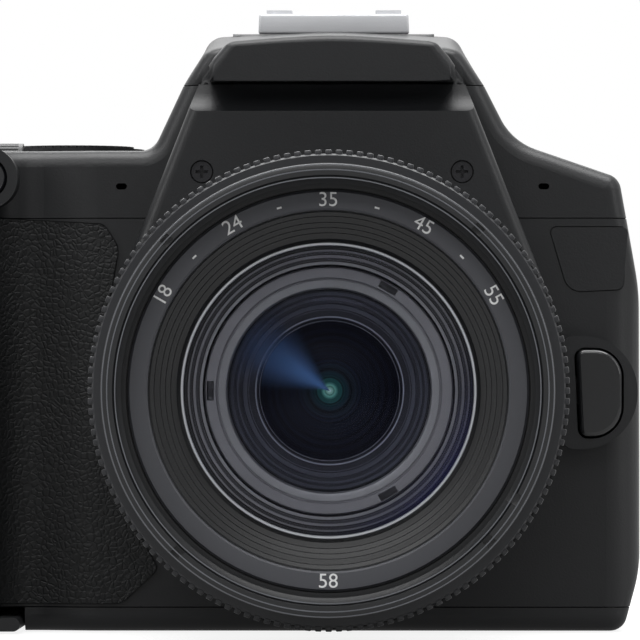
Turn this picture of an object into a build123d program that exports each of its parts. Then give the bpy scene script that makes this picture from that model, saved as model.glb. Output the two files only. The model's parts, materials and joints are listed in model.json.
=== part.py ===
from build123d import *
import math
import os

# A small digital single-lens reflex camera with its zoom lens, as separate pieces.
# +X is to the right seen from the front, -Y is the way the lens points, +Z is up.
# The origin is the mouth of the tripod socket, on the base, straight under the lens axis.

# ---------------------------------------------------------------- body, mm
BODY_WIDTH = 122.4
BODY_RIGHT = 44.7            # the lens axis is nearer to this side
BODY_LEFT = BODY_RIGHT - BODY_WIDTH
LENS_AXIS_Z = 35.3
FLANGE_TO_SENSOR = 44.0
SENSOR_Y = 6.0
FLANGE_Y = SENSOR_Y - FLANGE_TO_SENSOR
MOUNT_STAND_OFF = 2.5        # the metal mount stands this far out of its housing
HOUSING_Y = FLANGE_Y + MOUNT_STAND_OFF
HOUSING_BACK_Y = -20.0
HOUSING_RADIUS = 32.5
PANEL_Y = -24.0              # front of the covers beside the mount housing
GRIP_Y = -38.0
GRIP_WIDTH = 24.5
REAR_Y = 22.0
WALL = 2.0
SEAM = 0.15                  # gap between two covers
FIT = 0.2                    # clearance round a small moving piece
SEAT_GAP = 0.05              # clearance of a piece that is pressed or glued into its seat
SKIN = 1.0                   # rubber skins
SKIN_RECESS = 0.4
BASE_SEAM_Z = 3.6            # base plate to the other covers
TOP_SEAM_Z = 60.7            # top cover to the front and rear covers
REAR_SEAM_Y = 10.0           # rear cover to the front cover
SHOULDER_Z = 70.6            # flat top on the grip side
RIGHT_SHOULDER_Z = 67.2
HUMP_TOP_Z = 88.5
HUMP_TOP_HALF = 18.2
HUMP_FOOT_HALF = 26.4
EDGE_ROUND = 2.4             # rounding of the body's outer edges
HOUSING_ROUND = 1.6
TALL = 130.0                 # longer than the body, for cuts
CUT = 9.0                    # longer than any wall is thick, for cuts

# ---------------------------------------------------------------- flash head
HEAD_Z = HUMP_TOP_Z - 8.3     # underside of the flash head
HEAD_Y = -38.0
HEAD_PIVOT_Y = -6.5
HEAD_PIVOT_Z = HUMP_TOP_Z - 2.5
HEAD_BARREL_RADIUS = 2.6
HEAD_SWEEP_RADIUS = 3.6      # what the head's back edge sweeps as it rises
DECK_Z = HEAD_Z - SEAM       # the deck under the head

# ---------------------------------------------------------------- mount and lens
MOUNT_OUTER_RADIUS = 31.4
THROAT_RADIUS = 27.0
MOUNT_FLANGE_RADIUS = 24.6   # the three bayonet flanges reach in this far
COLLAR_RADIUS = 24.2
COLLAR_BORE = 22.5
LOCK_PIN_RADIUS = 1.2
MOUNT_BOLT_CIRCLE = 29.3
LENS_LENGTH = 61.8
LENS_RADIUS = 33.25
BARREL_RADIUS = 32.4
GUIDE_RADIUS = 30.5          # fixed tube that the zoom ring turns on
GUIDE_BORE = 29.2
RING_FIT = 0.06              # running fit of the zoom and focus rings
ZOOM_START = 15.0
ZOOM_END = 39.5
ZOOM_RIBS = 48
RIB_PITCH = 360 / ZOOM_RIBS
RIB_SHARE = 0.55             # width of a rib in its pitch
RIB_HEIGHT = 0.9
HEAD_START = 41.2            # the moving front group
FOCUS_START = 42.4
FOCUS_END = 49.4
FOCUS_SEAT_RADIUS = 30.0
FOCUS_GROOVES = 72
RIM_RADIUS = 31.0
FILTER_BORE = 28.7           # wall of the 58 mm filter thread
FILTER_DEPTH = 5.2           # the thread ends at the face of the name ring
NAME_RING_RADIUS = 27.7
NAME_RING_INNER = 24.7
NAME_RING_THICKNESS = 1.55
ELEMENT_RADIUS = 20.4
CELL_RADIUS = 17.3
INNER_ELEMENT_RADIUS = 13.9

# ---------------------------------------------------------------- screen and controls
SCREEN_LEFT = -37.0
SCREEN_LOW = 7.0
SCREEN_HIGH = 57.5
SCREEN_THICKNESS = 6.6
SCREEN_PIVOT_X = 41.4
SCREEN_PIVOT_Y = 19.8
SCREEN_BARREL_RADIUS = 3.0
SCREEN_SWEEP_RADIUS = 4.9
BUTTON_STANDS = 0.9          # rear buttons stand out of the cover
MODE_DIAL = (BODY_LEFT + 38.3, 4.0)
MODE_DIAL_RADIUS = 9.2
SWITCH_RADIUS = MODE_DIAL_RADIUS + 1.6
MAIN_DIAL_CENTRE = (BODY_LEFT + 27.7, -12.0, SHOULDER_Z - 6.4)
MAIN_DIAL_RADIUS = 7.8
MAIN_DIAL_WIDTH = 8.0
SHUTTER_BUTTON = (BODY_LEFT + 12.2, -25.5)
SHUTTER_BUTTON_RADIUS = 5.0
ISO_BUTTON = (BODY_LEFT + 15.2, -8.0)
ISO_BUTTON_RADIUS = 2.6
SCREW_HEAD_RADIUS = 1.5
SCREW_SHANK_RADIUS = 0.9
DOOR_PIVOT_X = BODY_LEFT + 31.2
DOOR_THICKNESS = 2.0
DOOR_LIFT = 0.2              # the base plate, not the door, stands on the table
SHOE_BACK_Y = 17.5
SHOE_FRONT_Y = -0.5
SHOE_Z = HUMP_TOP_Z + 0.4

os.makedirs("parts", exist_ok=True)


# ---------------------------------------------------------------- planes and simple shapes
def front_view(x, y, z):
    """A plane facing the way the lens points: its own x to the right, its own y up."""
    return Plane(origin=(x, y, z), x_dir=(1, 0, 0), z_dir=(0, -1, 0))


def rear_view(x, y, z):
    """A plane facing the photographer: its own x to the left seen from the front, y up."""
    return Plane(origin=(x, y, z), x_dir=(-1, 0, 0), z_dir=(0, 1, 0))


def side_view(x, y, z):
    """A plane facing +X: its own x towards the rear, its own y up."""
    return Plane(origin=(x, y, z), x_dir=(0, 1, 0), z_dir=(1, 0, 0))


LENS_AXIS = Axis((0, FLANGE_Y, LENS_AXIS_Z), (0, -1, 0))
LENS_PROFILE = Plane(origin=(0, FLANGE_Y, LENS_AXIS_Z), x_dir=(0, -1, 0), z_dir=(-1, 0, 0))


def lens_at(distance):
    """The plane square to the lens axis, this far in front of the mount's flange."""
    return front_view(0, FLANGE_Y - distance, LENS_AXIS_Z)


def outline(corners):
    """A closed line through (x, y, radius) corners."""
    FilletPolyline(*[(x, y) for x, y, _ in corners], radius=[r for _, _, r in corners], close=True)


def prism(plane, corners, depth, mode=Mode.ADD, grow=0):
    """An outline of rounded corners, grown a little if asked, pulled along the plane's normal."""
    with BuildSketch(plane) as section:
        with BuildLine():
            outline(corners)
        make_face()
        if grow:
            offset(amount=grow, kind=Kind.INTERSECTION)
    extrude(section.sketch, amount=depth, mode=mode)


def rod(plane, radius, length, mode=Mode.ADD):
    """A round bar that starts on a plane and follows its normal."""
    with Locations(plane):
        Cylinder(radius, length, align=(Align.CENTER, Align.CENTER, Align.MIN), mode=mode)


def block(low, high, mode=Mode.ADD):
    """A box between two opposite corners."""
    with Locations(tuple((a + b) / 2 for a, b in zip(low, high))):
        Box(*[b - a for a, b in zip(low, high)], mode=mode)


def turned(points, mode=Mode.ADD):
    """A ring about the lens axis, from (distance in front of the flange, radius) points."""
    with BuildSketch(LENS_PROFILE) as section:
        with BuildLine():
            Polyline(*points, close=True)
        make_face()
    revolve(section.sketch, axis=LENS_AXIS, mode=mode)


def sector(inner, outer, middle_angle, width_angle):
    """A piece of a ring in the current sketch, between two radii and two angles."""
    low = math.radians(middle_angle - width_angle / 2)
    mid = math.radians(middle_angle)
    high = math.radians(middle_angle + width_angle / 2)
    with BuildSketch(mode=Mode.PRIVATE) as piece:
        with BuildLine():
            ends = [[(r * math.cos(a), r * math.sin(a)) for a in (low, mid, high)] for r in (inner, outer)]
            ThreePointArc(*ends[0])
            ThreePointArc(*ends[1])
            Line(ends[0][0], ends[1][0])
            Line(ends[0][2], ends[1][2])
        make_face()
    return piece.sketch


# ---------------------------------------------------------------- outer form of the body
def plan_corners():
    """The body seen from above: back, grip, finger valley, front panel."""
    return [
        (BODY_LEFT, REAR_Y, 6.0),
        (BODY_LEFT, GRIP_Y, 12.0),
        (BODY_LEFT + GRIP_WIDTH, GRIP_Y, 8.0),
        (BODY_LEFT + GRIP_WIDTH + 5.0, PANEL_Y + 3.5, 6.0),
        (BODY_LEFT + GRIP_WIDTH + 17.5, PANEL_Y, 9.0),
        (BODY_RIGHT + 0.5, PANEL_Y, 5.0),
        (BODY_RIGHT + 0.5, REAR_Y, 5.0),
    ]


def front_corners():
    """The body seen from the front: base, right side and sloping shoulder, hump, grip shoulder."""
    return [
        (BODY_LEFT + 1.0, 0, 3.0),
        (BODY_RIGHT - 2.0, 0, 2.5),
        (BODY_RIGHT + 0.5, 9.0, 20.0),
        (BODY_RIGHT + 0.4, 50.0, 30.0),
        (BODY_RIGHT - 2.6, RIGHT_SHOULDER_Z - 0.6, 2.6),
        (HUMP_FOOT_HALF, SHOULDER_Z + 1.4, 9.0),
        (HUMP_TOP_HALF, HUMP_TOP_Z - 0.4, 3.0),
        (0, HUMP_TOP_Z + 0.4, 60.0),
        (-HUMP_TOP_HALF, HUMP_TOP_Z - 0.4, 3.0),
        (-HUMP_FOOT_HALF, SHOULDER_Z, 3.0),
        (BODY_LEFT + 13.0, SHOULDER_Z, 8.0),
        (BODY_LEFT, SHOULDER_Z - 6.0, 5.0),
    ]


def main_form(inset, edge_round=0):
    """Everything but the mount housing, drawn in by inset on all sides, its edges rounded if asked."""
    with BuildPart() as form:
        prism(Plane.XY.offset(-1), plan_corners(), TALL, grow=-inset)
        prism(front_view(0, TALL / 2, 0), front_corners(), TALL, mode=Mode.INTERSECT, grow=-inset)
        if edge_round:
            fillet(form.edges(), edge_round)
    return form.part


def housing_form(front_y, inset, edge_round=0):
    """The bell-shaped mount housing: round below the lens axis, narrowing up to the hump's top."""
    bell = [
        (HOUSING_RADIUS, LENS_AXIS_Z),
        (HOUSING_RADIUS, 46.8),
        (HUMP_TOP_HALF + 1.0, HEAD_Z + 0.2),
        (HUMP_TOP_HALF - 3.2, HUMP_TOP_Z - 0.3),
        (0, HUMP_TOP_Z + 0.4),
    ]
    points = bell + [(-x, z) for x, z in reversed(bell[:-1])]
    radii = [10, 6, 2, 80, 2, 6, 10]
    with BuildPart() as form:
        with BuildSketch(front_view(0, HOUSING_BACK_Y, 0)) as section:
            with BuildLine():
                FilletPolyline(*points, radius=radii)
                ThreePointArc(points[-1], (0, LENS_AXIS_Z - HOUSING_RADIUS), points[0])
            make_face()
            if inset:
                offset(amount=-inset, kind=Kind.INTERSECTION)
        extrude(section.sketch, amount=HOUSING_BACK_Y - front_y)
        if edge_round:
            fillet(form.faces().sort_by(Axis.Y)[0].edges(), edge_round)
    return form.part


BODY = main_form(0, EDGE_ROUND)
CAVITY = main_form(WALL)
HOUSING = housing_form(HOUSING_Y, 0, HOUSING_ROUND)
HOUSING_CAVITY = housing_form(HOUSING_Y + WALL, WALL)
HOUSING_CLEARANCE = housing_form(HOUSING_Y, -SEAM)
HOUSING_ROOF_Z = 72.0        # the housing is solid above this

# ---------------------------------------------------------------- mount screws, pins and holes
MOUNT_SCREW_ANGLES = (45, 135, 225, 315)
SCREW_HEAD_HEIGHT = 0.9
MOUNT_SCREWS = [
    (
        MOUNT_BOLT_CIRCLE * math.cos(math.radians(angle)),
        FLANGE_Y + 0.1,
        LENS_AXIS_Z + MOUNT_BOLT_CIRCLE * math.sin(math.radians(angle)),
    )
    for angle in MOUNT_SCREW_ANGLES
]
PANEL_SCREW_X = 18.9
PANEL_SCREW_Z = 67.1
PANEL_SCREWS = [(side * PANEL_SCREW_X, HOUSING_Y + 0.3, PANEL_SCREW_Z) for side in (-1, 1)]
SCREW_LENGTH = 5.0
BASE_SCREWS = [(-30.0, 11.8), (-30.0, -14.0), (36.0, 11.8), (36.0, -14.0)]
BASE_SCREW_Z = 0.3
LOCK_PIN = (MOUNT_BOLT_CIRCLE, LENS_AXIS_Z)

RELEASE_CORNERS = [(35.6, 41.3, 1.2), (42.3, 41.3, 4.0), (42.3, 28.6, 4.4), (36.2, 28.6, 1.2)]
RELEASE_BOSS = [(33.4, 43.3, 2.0), (44.6, 43.3, 8.0), (44.6, 26.8, 8.0), (33.4, 26.8, 2.0)]
RELEASE_BOSS_Y = PANEL_Y - 4.6
RELEASE_TRAVEL = 2.0

BADGE_CORNERS = [(31.8, 59.3, 0.8), (43.4, 59.3, 0.8), (42.6, 50.2, 1.0), (34.6, 49.8, 2.6)]
BADGE_DEPTH = 0.8
GRIP_SKIN_CORNERS = [
    (BODY_LEFT - 5.0, 60.5, 1.0),
    (-47.9, 60.5, 20.0),
    (-33.6, 59.7, 1.5),
    (-31.4, 56.3, 3.0),
    (-35.0, 36.0, 24.0),
    (-31.6, 19.8, 24.0),
    (-25.6, 9.2, 1.2),
    (-31.0, 4.1, 3.0),
    (BODY_LEFT - 5.0, 4.1, 1.0),
]


def grip_skin(outer, inner, grow):
    """A skin round the grip, between two offsets of the body's plan, cut to its outline."""
    with BuildPart() as skin:
        prism(Plane.XY, plan_corners(), TOP_SEAM_Z + 4, grow=outer)
        prism(Plane.XY, plan_corners(), TOP_SEAM_Z + 4, mode=Mode.SUBTRACT, grow=-inner)
        prism(front_view(0, REAR_SEAM_Y - 1, 0), GRIP_SKIN_CORNERS, TALL, mode=Mode.INTERSECT, grow=grow)
    return skin.part


def main_dial_room():
    """Cuts the room that the main dial turns in."""
    rod(side_view(MAIN_DIAL_CENTRE[0] - MAIN_DIAL_WIDTH / 2 - FIT, *MAIN_DIAL_CENTRE[1:]),
        MAIN_DIAL_RADIUS + FIT + 0.1, MAIN_DIAL_WIDTH + 2 * FIT, mode=Mode.SUBTRACT)


# ---------------------------------------------------------------- front cover
PORTS_Y = (-16.0, -4.0)
PORT_COVERS = {"port_cover_upper": (31.0, 46.0), "port_cover_lower": (12.0, 30.0)}
PORT_COVER_THICKNESS = 1.4
PORT_BARREL_RADIUS = 0.7
SIDE_X = BODY_RIGHT + 0.2
STRAP_Y = (0.5, 7.5)
STRAP_Z = (46.5, 56.5)
STRAP_DEPTH = 4.4
STRAP_BAR_RADIUS = 1.0
LAMP = (BODY_LEFT + 27.1, SHOULDER_Z - 4.2)
LAMP_RADIUS = 3.0
MIC_SLOTS = [(-31.0, 65.3), (31.0, 65.3)]

LIP_THICKNESS = 0.8          # a lip inside the seam with the top cover keeps light out
LIP_HEIGHT = 1.0             # above and below the seam
LIP_ROOT = 0.05              # the lip sinks this far into the wall that carries it

with BuildPart() as housing_hollow:
    add(HOUSING_CAVITY)
    block((-TALL, -TALL, HOUSING_ROOF_Z), (TALL, TALL, TALL), mode=Mode.SUBTRACT)

# the lip stands clear of the top cover, so only its lower half is as wide as the wall's inside
with BuildPart() as seam_lip:
    add(main_form(WALL - LIP_ROOT))
    block((-TALL, -TALL, TOP_SEAM_Z - SEAM), (TALL, TALL, TALL), mode=Mode.SUBTRACT)
    add(main_form(WALL + 2 * LIP_ROOT))
    add(main_form(WALL + LIP_THICKNESS), mode=Mode.SUBTRACT)
    block((-TALL, -TALL, -TALL), (TALL, TALL, TOP_SEAM_Z - LIP_HEIGHT), mode=Mode.SUBTRACT)
    block((-TALL, -TALL, TOP_SEAM_Z + LIP_HEIGHT), (TALL, TALL, TALL), mode=Mode.SUBTRACT)
    block((-TALL, REAR_SEAM_Y - 1, -TALL), (TALL, TALL, TALL), mode=Mode.SUBTRACT)
    add(HOUSING, mode=Mode.SUBTRACT)
    main_dial_room()

with BuildPart() as front_cover:
    add(BODY)
    block((-TALL, REAR_SEAM_Y - SEAM, -TALL), (TALL, TALL, TALL), mode=Mode.SUBTRACT)
    block((-TALL, -TALL, TOP_SEAM_Z - SEAM), (TALL, TALL, TALL), mode=Mode.SUBTRACT)
    add(HOUSING)
    block((-TALL, -TALL, DECK_Z - SEAM), (TALL, TALL, TALL), mode=Mode.SUBTRACT)
    block((-TALL, -TALL, -TALL), (TALL, TALL, BASE_SEAM_Z), mode=Mode.SUBTRACT)
    add(CAVITY, mode=Mode.SUBTRACT)
    add(housing_hollow.part, mode=Mode.SUBTRACT)
    # the hump's wall behind the bell, above the seam, belongs to the top cover
    block((-TALL, HOUSING_BACK_Y - SEAM, TOP_SEAM_Z - SEAM), (TALL, TALL, TALL), mode=Mode.SUBTRACT)
    add(seam_lip.part)
    # throat, lock pin and screw holes
    rod(lens_at(-MOUNT_STAND_OFF - WALL - 1), THROAT_RADIUS + FIT, WALL + 2, mode=Mode.SUBTRACT)
    rod(front_view(LOCK_PIN[0], HOUSING_Y + WALL + 1, LOCK_PIN[1]), LOCK_PIN_RADIUS + FIT, WALL + 2,
        mode=Mode.SUBTRACT)
    for x, y, z in MOUNT_SCREWS:
        rod(front_view(x, y + SCREW_LENGTH + 1, z), SCREW_SHANK_RADIUS + 0.05, SCREW_LENGTH + 2,
            mode=Mode.SUBTRACT)
    for x, y, z in PANEL_SCREWS:
        rod(front_view(x, y + SCREW_LENGTH + 1, z), SCREW_SHANK_RADIUS + 0.05, SCREW_LENGTH + 2,
            mode=Mode.SUBTRACT)
        rod(front_view(x, y + SCREW_HEAD_HEIGHT, z), SCREW_HEAD_RADIUS + FIT, WALL, mode=Mode.SUBTRACT)
    # hollow under the flash head's lip
    with BuildSketch(side_view(0, HOUSING_Y - 2.4, HEAD_Z + 0.8)) as scoop:
        Circle(5.6)
    extrude(scoop.sketch, amount=HUMP_TOP_HALF + 6, both=True, mode=Mode.SUBTRACT)
    # raised boss round the release button, and the button's well
    prism(front_view(0, PANEL_Y + WALL, 0), RELEASE_BOSS, PANEL_Y + WALL - RELEASE_BOSS_Y)
    prism(front_view(0, PANEL_Y + WALL + 1, 0), RELEASE_CORNERS, TALL, mode=Mode.SUBTRACT, grow=FIT + 0.1)
    # seats for the badge and the grip's skin
    prism(front_view(0, PANEL_Y + BADGE_DEPTH, 0), BADGE_CORNERS, TALL, mode=Mode.SUBTRACT, grow=SEAM)
    add(grip_skin(2, SKIN_RECESS + 0.05, SEAM), mode=Mode.SUBTRACT)
    # windows and seats of the two port covers
    for low, high in PORT_COVERS.values():
        block((BODY_RIGHT - WALL - 1, PORTS_Y[0] + 2, low + 1), (TALL, PORTS_Y[1] - 1, high - 1),
              mode=Mode.SUBTRACT)
        block((SIDE_X - PORT_COVER_THICKNESS - SEAM, PORTS_Y[0] - 1.2, low - FIT),
              (TALL, PORTS_Y[1] + FIT, high + FIT), mode=Mode.SUBTRACT)
    # strap bar pockets at both ends
    for outer_x, inward in ((BODY_RIGHT, -1), (BODY_LEFT, 1)):
        shell = sorted((outer_x + inward * 0.5, outer_x + inward * (STRAP_DEPTH + WALL)))
        pocket = sorted((outer_x - inward * 3, outer_x + inward * STRAP_DEPTH))
        block((shell[0], STRAP_Y[0] - WALL, STRAP_Z[0] - WALL),
              (shell[1], STRAP_Y[1] + WALL, STRAP_Z[1] + WALL - SEAM))
        block((pocket[0], STRAP_Y[0], STRAP_Z[0]), (pocket[1], STRAP_Y[1], STRAP_Z[1]), mode=Mode.SUBTRACT)
front_cover.part.label = "front_cover"
export_step(front_cover.part, "parts/front_cover.step")

# ---------------------------------------------------------------- top cover
DECK_THICKNESS = 2.2
EYEPIECE = (0, 72.0)
EYEPIECE_HALF = (10.4, 6.4)
MENU_BUTTONS = {
    "menu_button": (36.5, 63.7),
    "info_button": (29.0, 63.9),
    "live_view_button": (-31.5, 64.5),
    "lock_button": (BODY_LEFT + 15.7, 64.2),
}
COVER_BUTTONS = {
    "exposure_button": (BODY_LEFT + 33.2, 52.0),
    "playback_button": (BODY_LEFT + 31.2, 14.0),
    "erase_button": (BODY_LEFT + 15.7, 12.5),
}
REAR_BUTTON_RADIUS = 2.5
PAD = (BODY_LEFT + 21.2, 30.5)
PAD_RADIUS = 9.4
SET_RADIUS = 4.2
DIOPTRE = (-21.3, 71.0)
DIOPTRE_RADIUS = 2.6
SHOE_HALF = 10.1
SHOE_SCREW_Y = 8.5
EYECUP_HALF = (16.6, 8.6)

BED_MARGIN = 1.0             # the bed in front of the shoe is wider than the shoe by this
BED_TOP_Z = SHOE_Z + 2.7
BED_Y = (SHOE_FRONT_Y - 2.1, SHOE_FRONT_Y - 0.1)

# the inside of the top cover stops under the deck that carries the flash head
with BuildPart() as top_cavity:
    add(CAVITY)
    block((-TALL, -TALL, DECK_Z - DECK_THICKNESS), (TALL, HEAD_PIVOT_Y + HEAD_SWEEP_RADIUS + WALL, TALL),
          mode=Mode.SUBTRACT)

with BuildPart() as top_cover:
    add(BODY)
    block((-TALL, -TALL, -TALL), (TALL, TALL, TOP_SEAM_Z), mode=Mode.SUBTRACT)
    add(top_cavity.part, mode=Mode.SUBTRACT)
    add(HOUSING_CLEARANCE, mode=Mode.SUBTRACT)
    # room for the flash head and for the sweep of its back edge
    block((-TALL, -TALL, DECK_Z), (TALL, HEAD_PIVOT_Y + FIT, TALL), mode=Mode.SUBTRACT)
    rod(side_view(-TALL / 2, HEAD_PIVOT_Y, HEAD_PIVOT_Z), HEAD_SWEEP_RADIUS, TALL, mode=Mode.SUBTRACT)
    # bed in front of the hot shoe
    block((-SHOE_HALF - BED_MARGIN, BED_Y[0], SHOE_Z - WALL), (SHOE_HALF + BED_MARGIN, BED_Y[1], BED_TOP_Z))
    # lamp boss and its well
    rod(front_view(LAMP[0], PANEL_Y + 4, LAMP[1]), LAMP_RADIUS + 1.6, 9.0)
    rod(front_view(LAMP[0], PANEL_Y - 2, LAMP[1]), LAMP_RADIUS + 0.1, TALL, mode=Mode.SUBTRACT)
    # microphone slots
    for x, z in MIC_SLOTS:
        with BuildSketch(front_view(x, PANEL_Y + WALL + 1, z)) as slot:
            SlotOverall(1.6, 0.9)
        extrude(slot.sketch, amount=WALL + 2, mode=Mode.SUBTRACT)
    # wells of the dials and buttons on top
    rod(Plane((*MODE_DIAL, SHOULDER_Z - 3)), MODE_DIAL_RADIUS + FIT, CUT, mode=Mode.SUBTRACT)
    main_dial_room()
    rod(Plane((*SHUTTER_BUTTON, SHOULDER_Z - 4)), SHUTTER_BUTTON_RADIUS + FIT, CUT, mode=Mode.SUBTRACT)
    rod(Plane((*ISO_BUTTON, SHOULDER_Z - 4)), ISO_BUTTON_RADIUS + FIT, CUT, mode=Mode.SUBTRACT)
    # eyepiece window, rear buttons and dioptre dial
    block((-EYEPIECE_HALF[0], REAR_Y - WALL - 1, EYEPIECE[1] - EYEPIECE_HALF[1]),
          (EYEPIECE_HALF[0], TALL, EYEPIECE[1] + EYEPIECE_HALF[1]), mode=Mode.SUBTRACT)
    for x, z in MENU_BUTTONS.values():
        rod(rear_view(x, REAR_Y - WALL - 1, z), REAR_BUTTON_RADIUS + FIT, CUT, mode=Mode.SUBTRACT)
    rod(rear_view(DIOPTRE[0], REAR_Y - WALL - 1, DIOPTRE[1]), DIOPTRE_RADIUS + FIT, CUT, mode=Mode.SUBTRACT)
top_cover.part.label = "top_cover"
export_step(top_cover.part, "parts/top_cover.step")

# ---------------------------------------------------------------- rear cover
SCREEN_WELL = 0.5            # room behind and round the screen
SCREEN_FACE_Y = SCREEN_PIVOT_Y + 3.0
SCREEN_BACK_Y = SCREEN_FACE_Y - SCREEN_THICKNESS
SCREEN_RIGHT = SCREEN_PIVOT_X - SCREEN_BARREL_RADIUS - 0.5
THUMB_CORNERS = [
    (BODY_LEFT + 2.2, 56.5, 2.0), (BODY_LEFT + 15.2, 56.5, 3.0),
    (BODY_LEFT + 13.2, 42.0, 4.0), (BODY_LEFT + 2.2, 42.0, 2.0),
]

with BuildPart() as rear_cover:
    add(BODY)
    block((-TALL, -TALL, -TALL), (TALL, REAR_SEAM_Y, TALL), mode=Mode.SUBTRACT)
    block((-TALL, -TALL, -TALL), (TALL, TALL, BASE_SEAM_Z), mode=Mode.SUBTRACT)
    block((-TALL, -TALL, TOP_SEAM_Z - SEAM), (TALL, TALL, TALL), mode=Mode.SUBTRACT)
    add(CAVITY, mode=Mode.SUBTRACT)
    # tray that the screen folds into
    block((SCREEN_LEFT - 2.5, SCREEN_BACK_Y - SCREEN_WELL - 1.6, BASE_SEAM_Z + 1),
          (BODY_RIGHT - 1, REAR_Y - 1, TOP_SEAM_Z - SEAM))
    block((SCREEN_LEFT - SCREEN_WELL, SCREEN_BACK_Y - SCREEN_WELL, SCREEN_LOW - SCREEN_WELL),
          (SCREEN_PIVOT_X, TALL, SCREEN_HIGH + SCREEN_WELL), mode=Mode.SUBTRACT)
    rod(Plane((SCREEN_PIVOT_X, SCREEN_PIVOT_Y, SCREEN_LOW - SCREEN_WELL)), SCREEN_SWEEP_RADIUS,
        SCREEN_HIGH - SCREEN_LOW + 2 * SCREEN_WELL, mode=Mode.SUBTRACT)
    block((SCREEN_PIVOT_X, SCREEN_PIVOT_Y - 1, SCREEN_LOW - SCREEN_WELL),
          (TALL, TALL, SCREEN_HIGH + SCREEN_WELL), mode=Mode.SUBTRACT)
    for x, z in COVER_BUTTONS.values():
        rod(rear_view(x, REAR_Y - WALL - 1, z), REAR_BUTTON_RADIUS + FIT, CUT, mode=Mode.SUBTRACT)
    rod(rear_view(PAD[0], REAR_Y - WALL - 1, PAD[1]), PAD_RADIUS + FIT, CUT, mode=Mode.SUBTRACT)
    prism(rear_view(0, REAR_Y - SKIN_RECESS, 0), [(-x, z, r) for x, z, r in THUMB_CORNERS], CUT,
          mode=Mode.SUBTRACT, grow=SEAM)
rear_cover.part.label = "rear_cover"
export_step(rear_cover.part, "parts/rear_cover.step")

# ---------------------------------------------------------------- base plate, door and socket
SOCKET_RADIUS = 6.0
SOCKET_BORE = 2.65           # minor radius of the 1/4 inch thread
SOCKET_DEPTH = 6.5
DOOR_LEFT = BODY_LEFT + 4.0
DOOR_Y = (-32.5, 4.0)
DOOR_BARREL_RADIUS = 1.0

with BuildPart() as base_plate:
    add(BODY)
    block((-TALL, -TALL, BASE_SEAM_Z - SEAM), (TALL, TALL, TALL), mode=Mode.SUBTRACT)
    add(CAVITY, mode=Mode.SUBTRACT)
    rod(Plane.XY.offset(-1), SOCKET_RADIUS + 0.05, CUT, mode=Mode.SUBTRACT)
    block((DOOR_LEFT - FIT, DOOR_Y[0] - FIT, -1),
          (DOOR_PIVOT_X + DOOR_BARREL_RADIUS + FIT, DOOR_Y[1] + FIT, CUT), mode=Mode.SUBTRACT)
    for x, y in BASE_SCREWS:
        rod(Plane((x, y, -1)), SCREW_SHANK_RADIUS + 0.05, CUT, mode=Mode.SUBTRACT)
        rod(Plane((x, y, -1)), SCREW_HEAD_RADIUS + FIT, 1 + BASE_SCREW_Z + SCREW_HEAD_HEIGHT,
            mode=Mode.SUBTRACT)
base_plate.part.label = "base_plate"
export_step(base_plate.part, "parts/base_plate.step")

with BuildPart() as battery_door:
    block((DOOR_LEFT, DOOR_Y[0], DOOR_LIFT), (DOOR_PIVOT_X, DOOR_Y[1], DOOR_LIFT + DOOR_THICKNESS))
    rod(rear_view(DOOR_PIVOT_X, DOOR_Y[0], DOOR_LIFT + DOOR_BARREL_RADIUS), DOOR_BARREL_RADIUS,
        DOOR_Y[1] - DOOR_Y[0])
battery_door.part.label = "battery_door"
export_step(battery_door.part, "parts/battery_door.step")

with BuildPart() as tripod_socket:
    rod(Plane.XY, SOCKET_RADIUS, SOCKET_DEPTH + 1.5)
    rod(Plane.XY, SOCKET_BORE, SOCKET_DEPTH, mode=Mode.SUBTRACT)
tripod_socket.part.label = "tripod_socket"
export_step(tripod_socket.part, "parts/tripod_socket.step")

BATTERY_SIZE = (14.0, 33.0, 49.4)
BATTERY_CORNER = (BODY_LEFT + 6.9, -29.6, DOOR_LIFT + DOOR_THICKNESS + 0.3)
with BuildPart() as battery:
    block(BATTERY_CORNER, [corner + size for corner, size in zip(BATTERY_CORNER, BATTERY_SIZE)])
    fillet(battery.edges().filter_by(Axis.Z), 1.5)
battery.part.label = "battery"
export_step(battery.part, "parts/battery.step")

# ---------------------------------------------------------------- skins, badge, lamp, strap bars
with BuildPart() as grip_rubber:
    add(grip_skin(SKIN - SKIN_RECESS, SKIN_RECESS, 0))
grip_rubber.part.label = "grip_rubber"
export_step(grip_rubber.part, "parts/grip_rubber.step")

with BuildPart() as thumb_rest:
    prism(rear_view(0, REAR_Y - SKIN_RECESS, 0), [(-x, z, r) for x, z, r in THUMB_CORNERS], SKIN + 0.6)
    fillet(thumb_rest.faces().sort_by(Axis.Y)[-1].edges(), 0.5)
thumb_rest.part.label = "thumb_rest"
export_step(thumb_rest.part, "parts/thumb_rest.step")

with BuildPart() as badge_plate:
    prism(front_view(0, PANEL_Y + BADGE_DEPTH, 0), BADGE_CORNERS, BADGE_DEPTH + 0.1)
badge_plate.part.label = "badge_plate"
export_step(badge_plate.part, "parts/badge_plate.step")

with BuildPart() as front_lamp:
    rod(front_view(LAMP[0], PANEL_Y - 2, LAMP[1]), LAMP_RADIUS, 2.6)
    fillet(front_lamp.faces().sort_by(Axis.Y)[0].edges(), 0.6)
front_lamp.part.label = "front_lamp"
export_step(front_lamp.part, "parts/front_lamp.step")

STRAP_BAR_X = (BODY_RIGHT - 0.8 - STRAP_BAR_RADIUS, BODY_LEFT + 0.8 + STRAP_BAR_RADIUS)
with BuildPart() as strap_bars:
    for x in STRAP_BAR_X:
        rod(Plane((x, sum(STRAP_Y) / 2, STRAP_Z[0] + 0.05)), STRAP_BAR_RADIUS, STRAP_Z[1] - STRAP_Z[0] - 0.1)
strap_bars.part.label = "strap_bars"
export_step(strap_bars.part, "parts/strap_bars.step")

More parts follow.
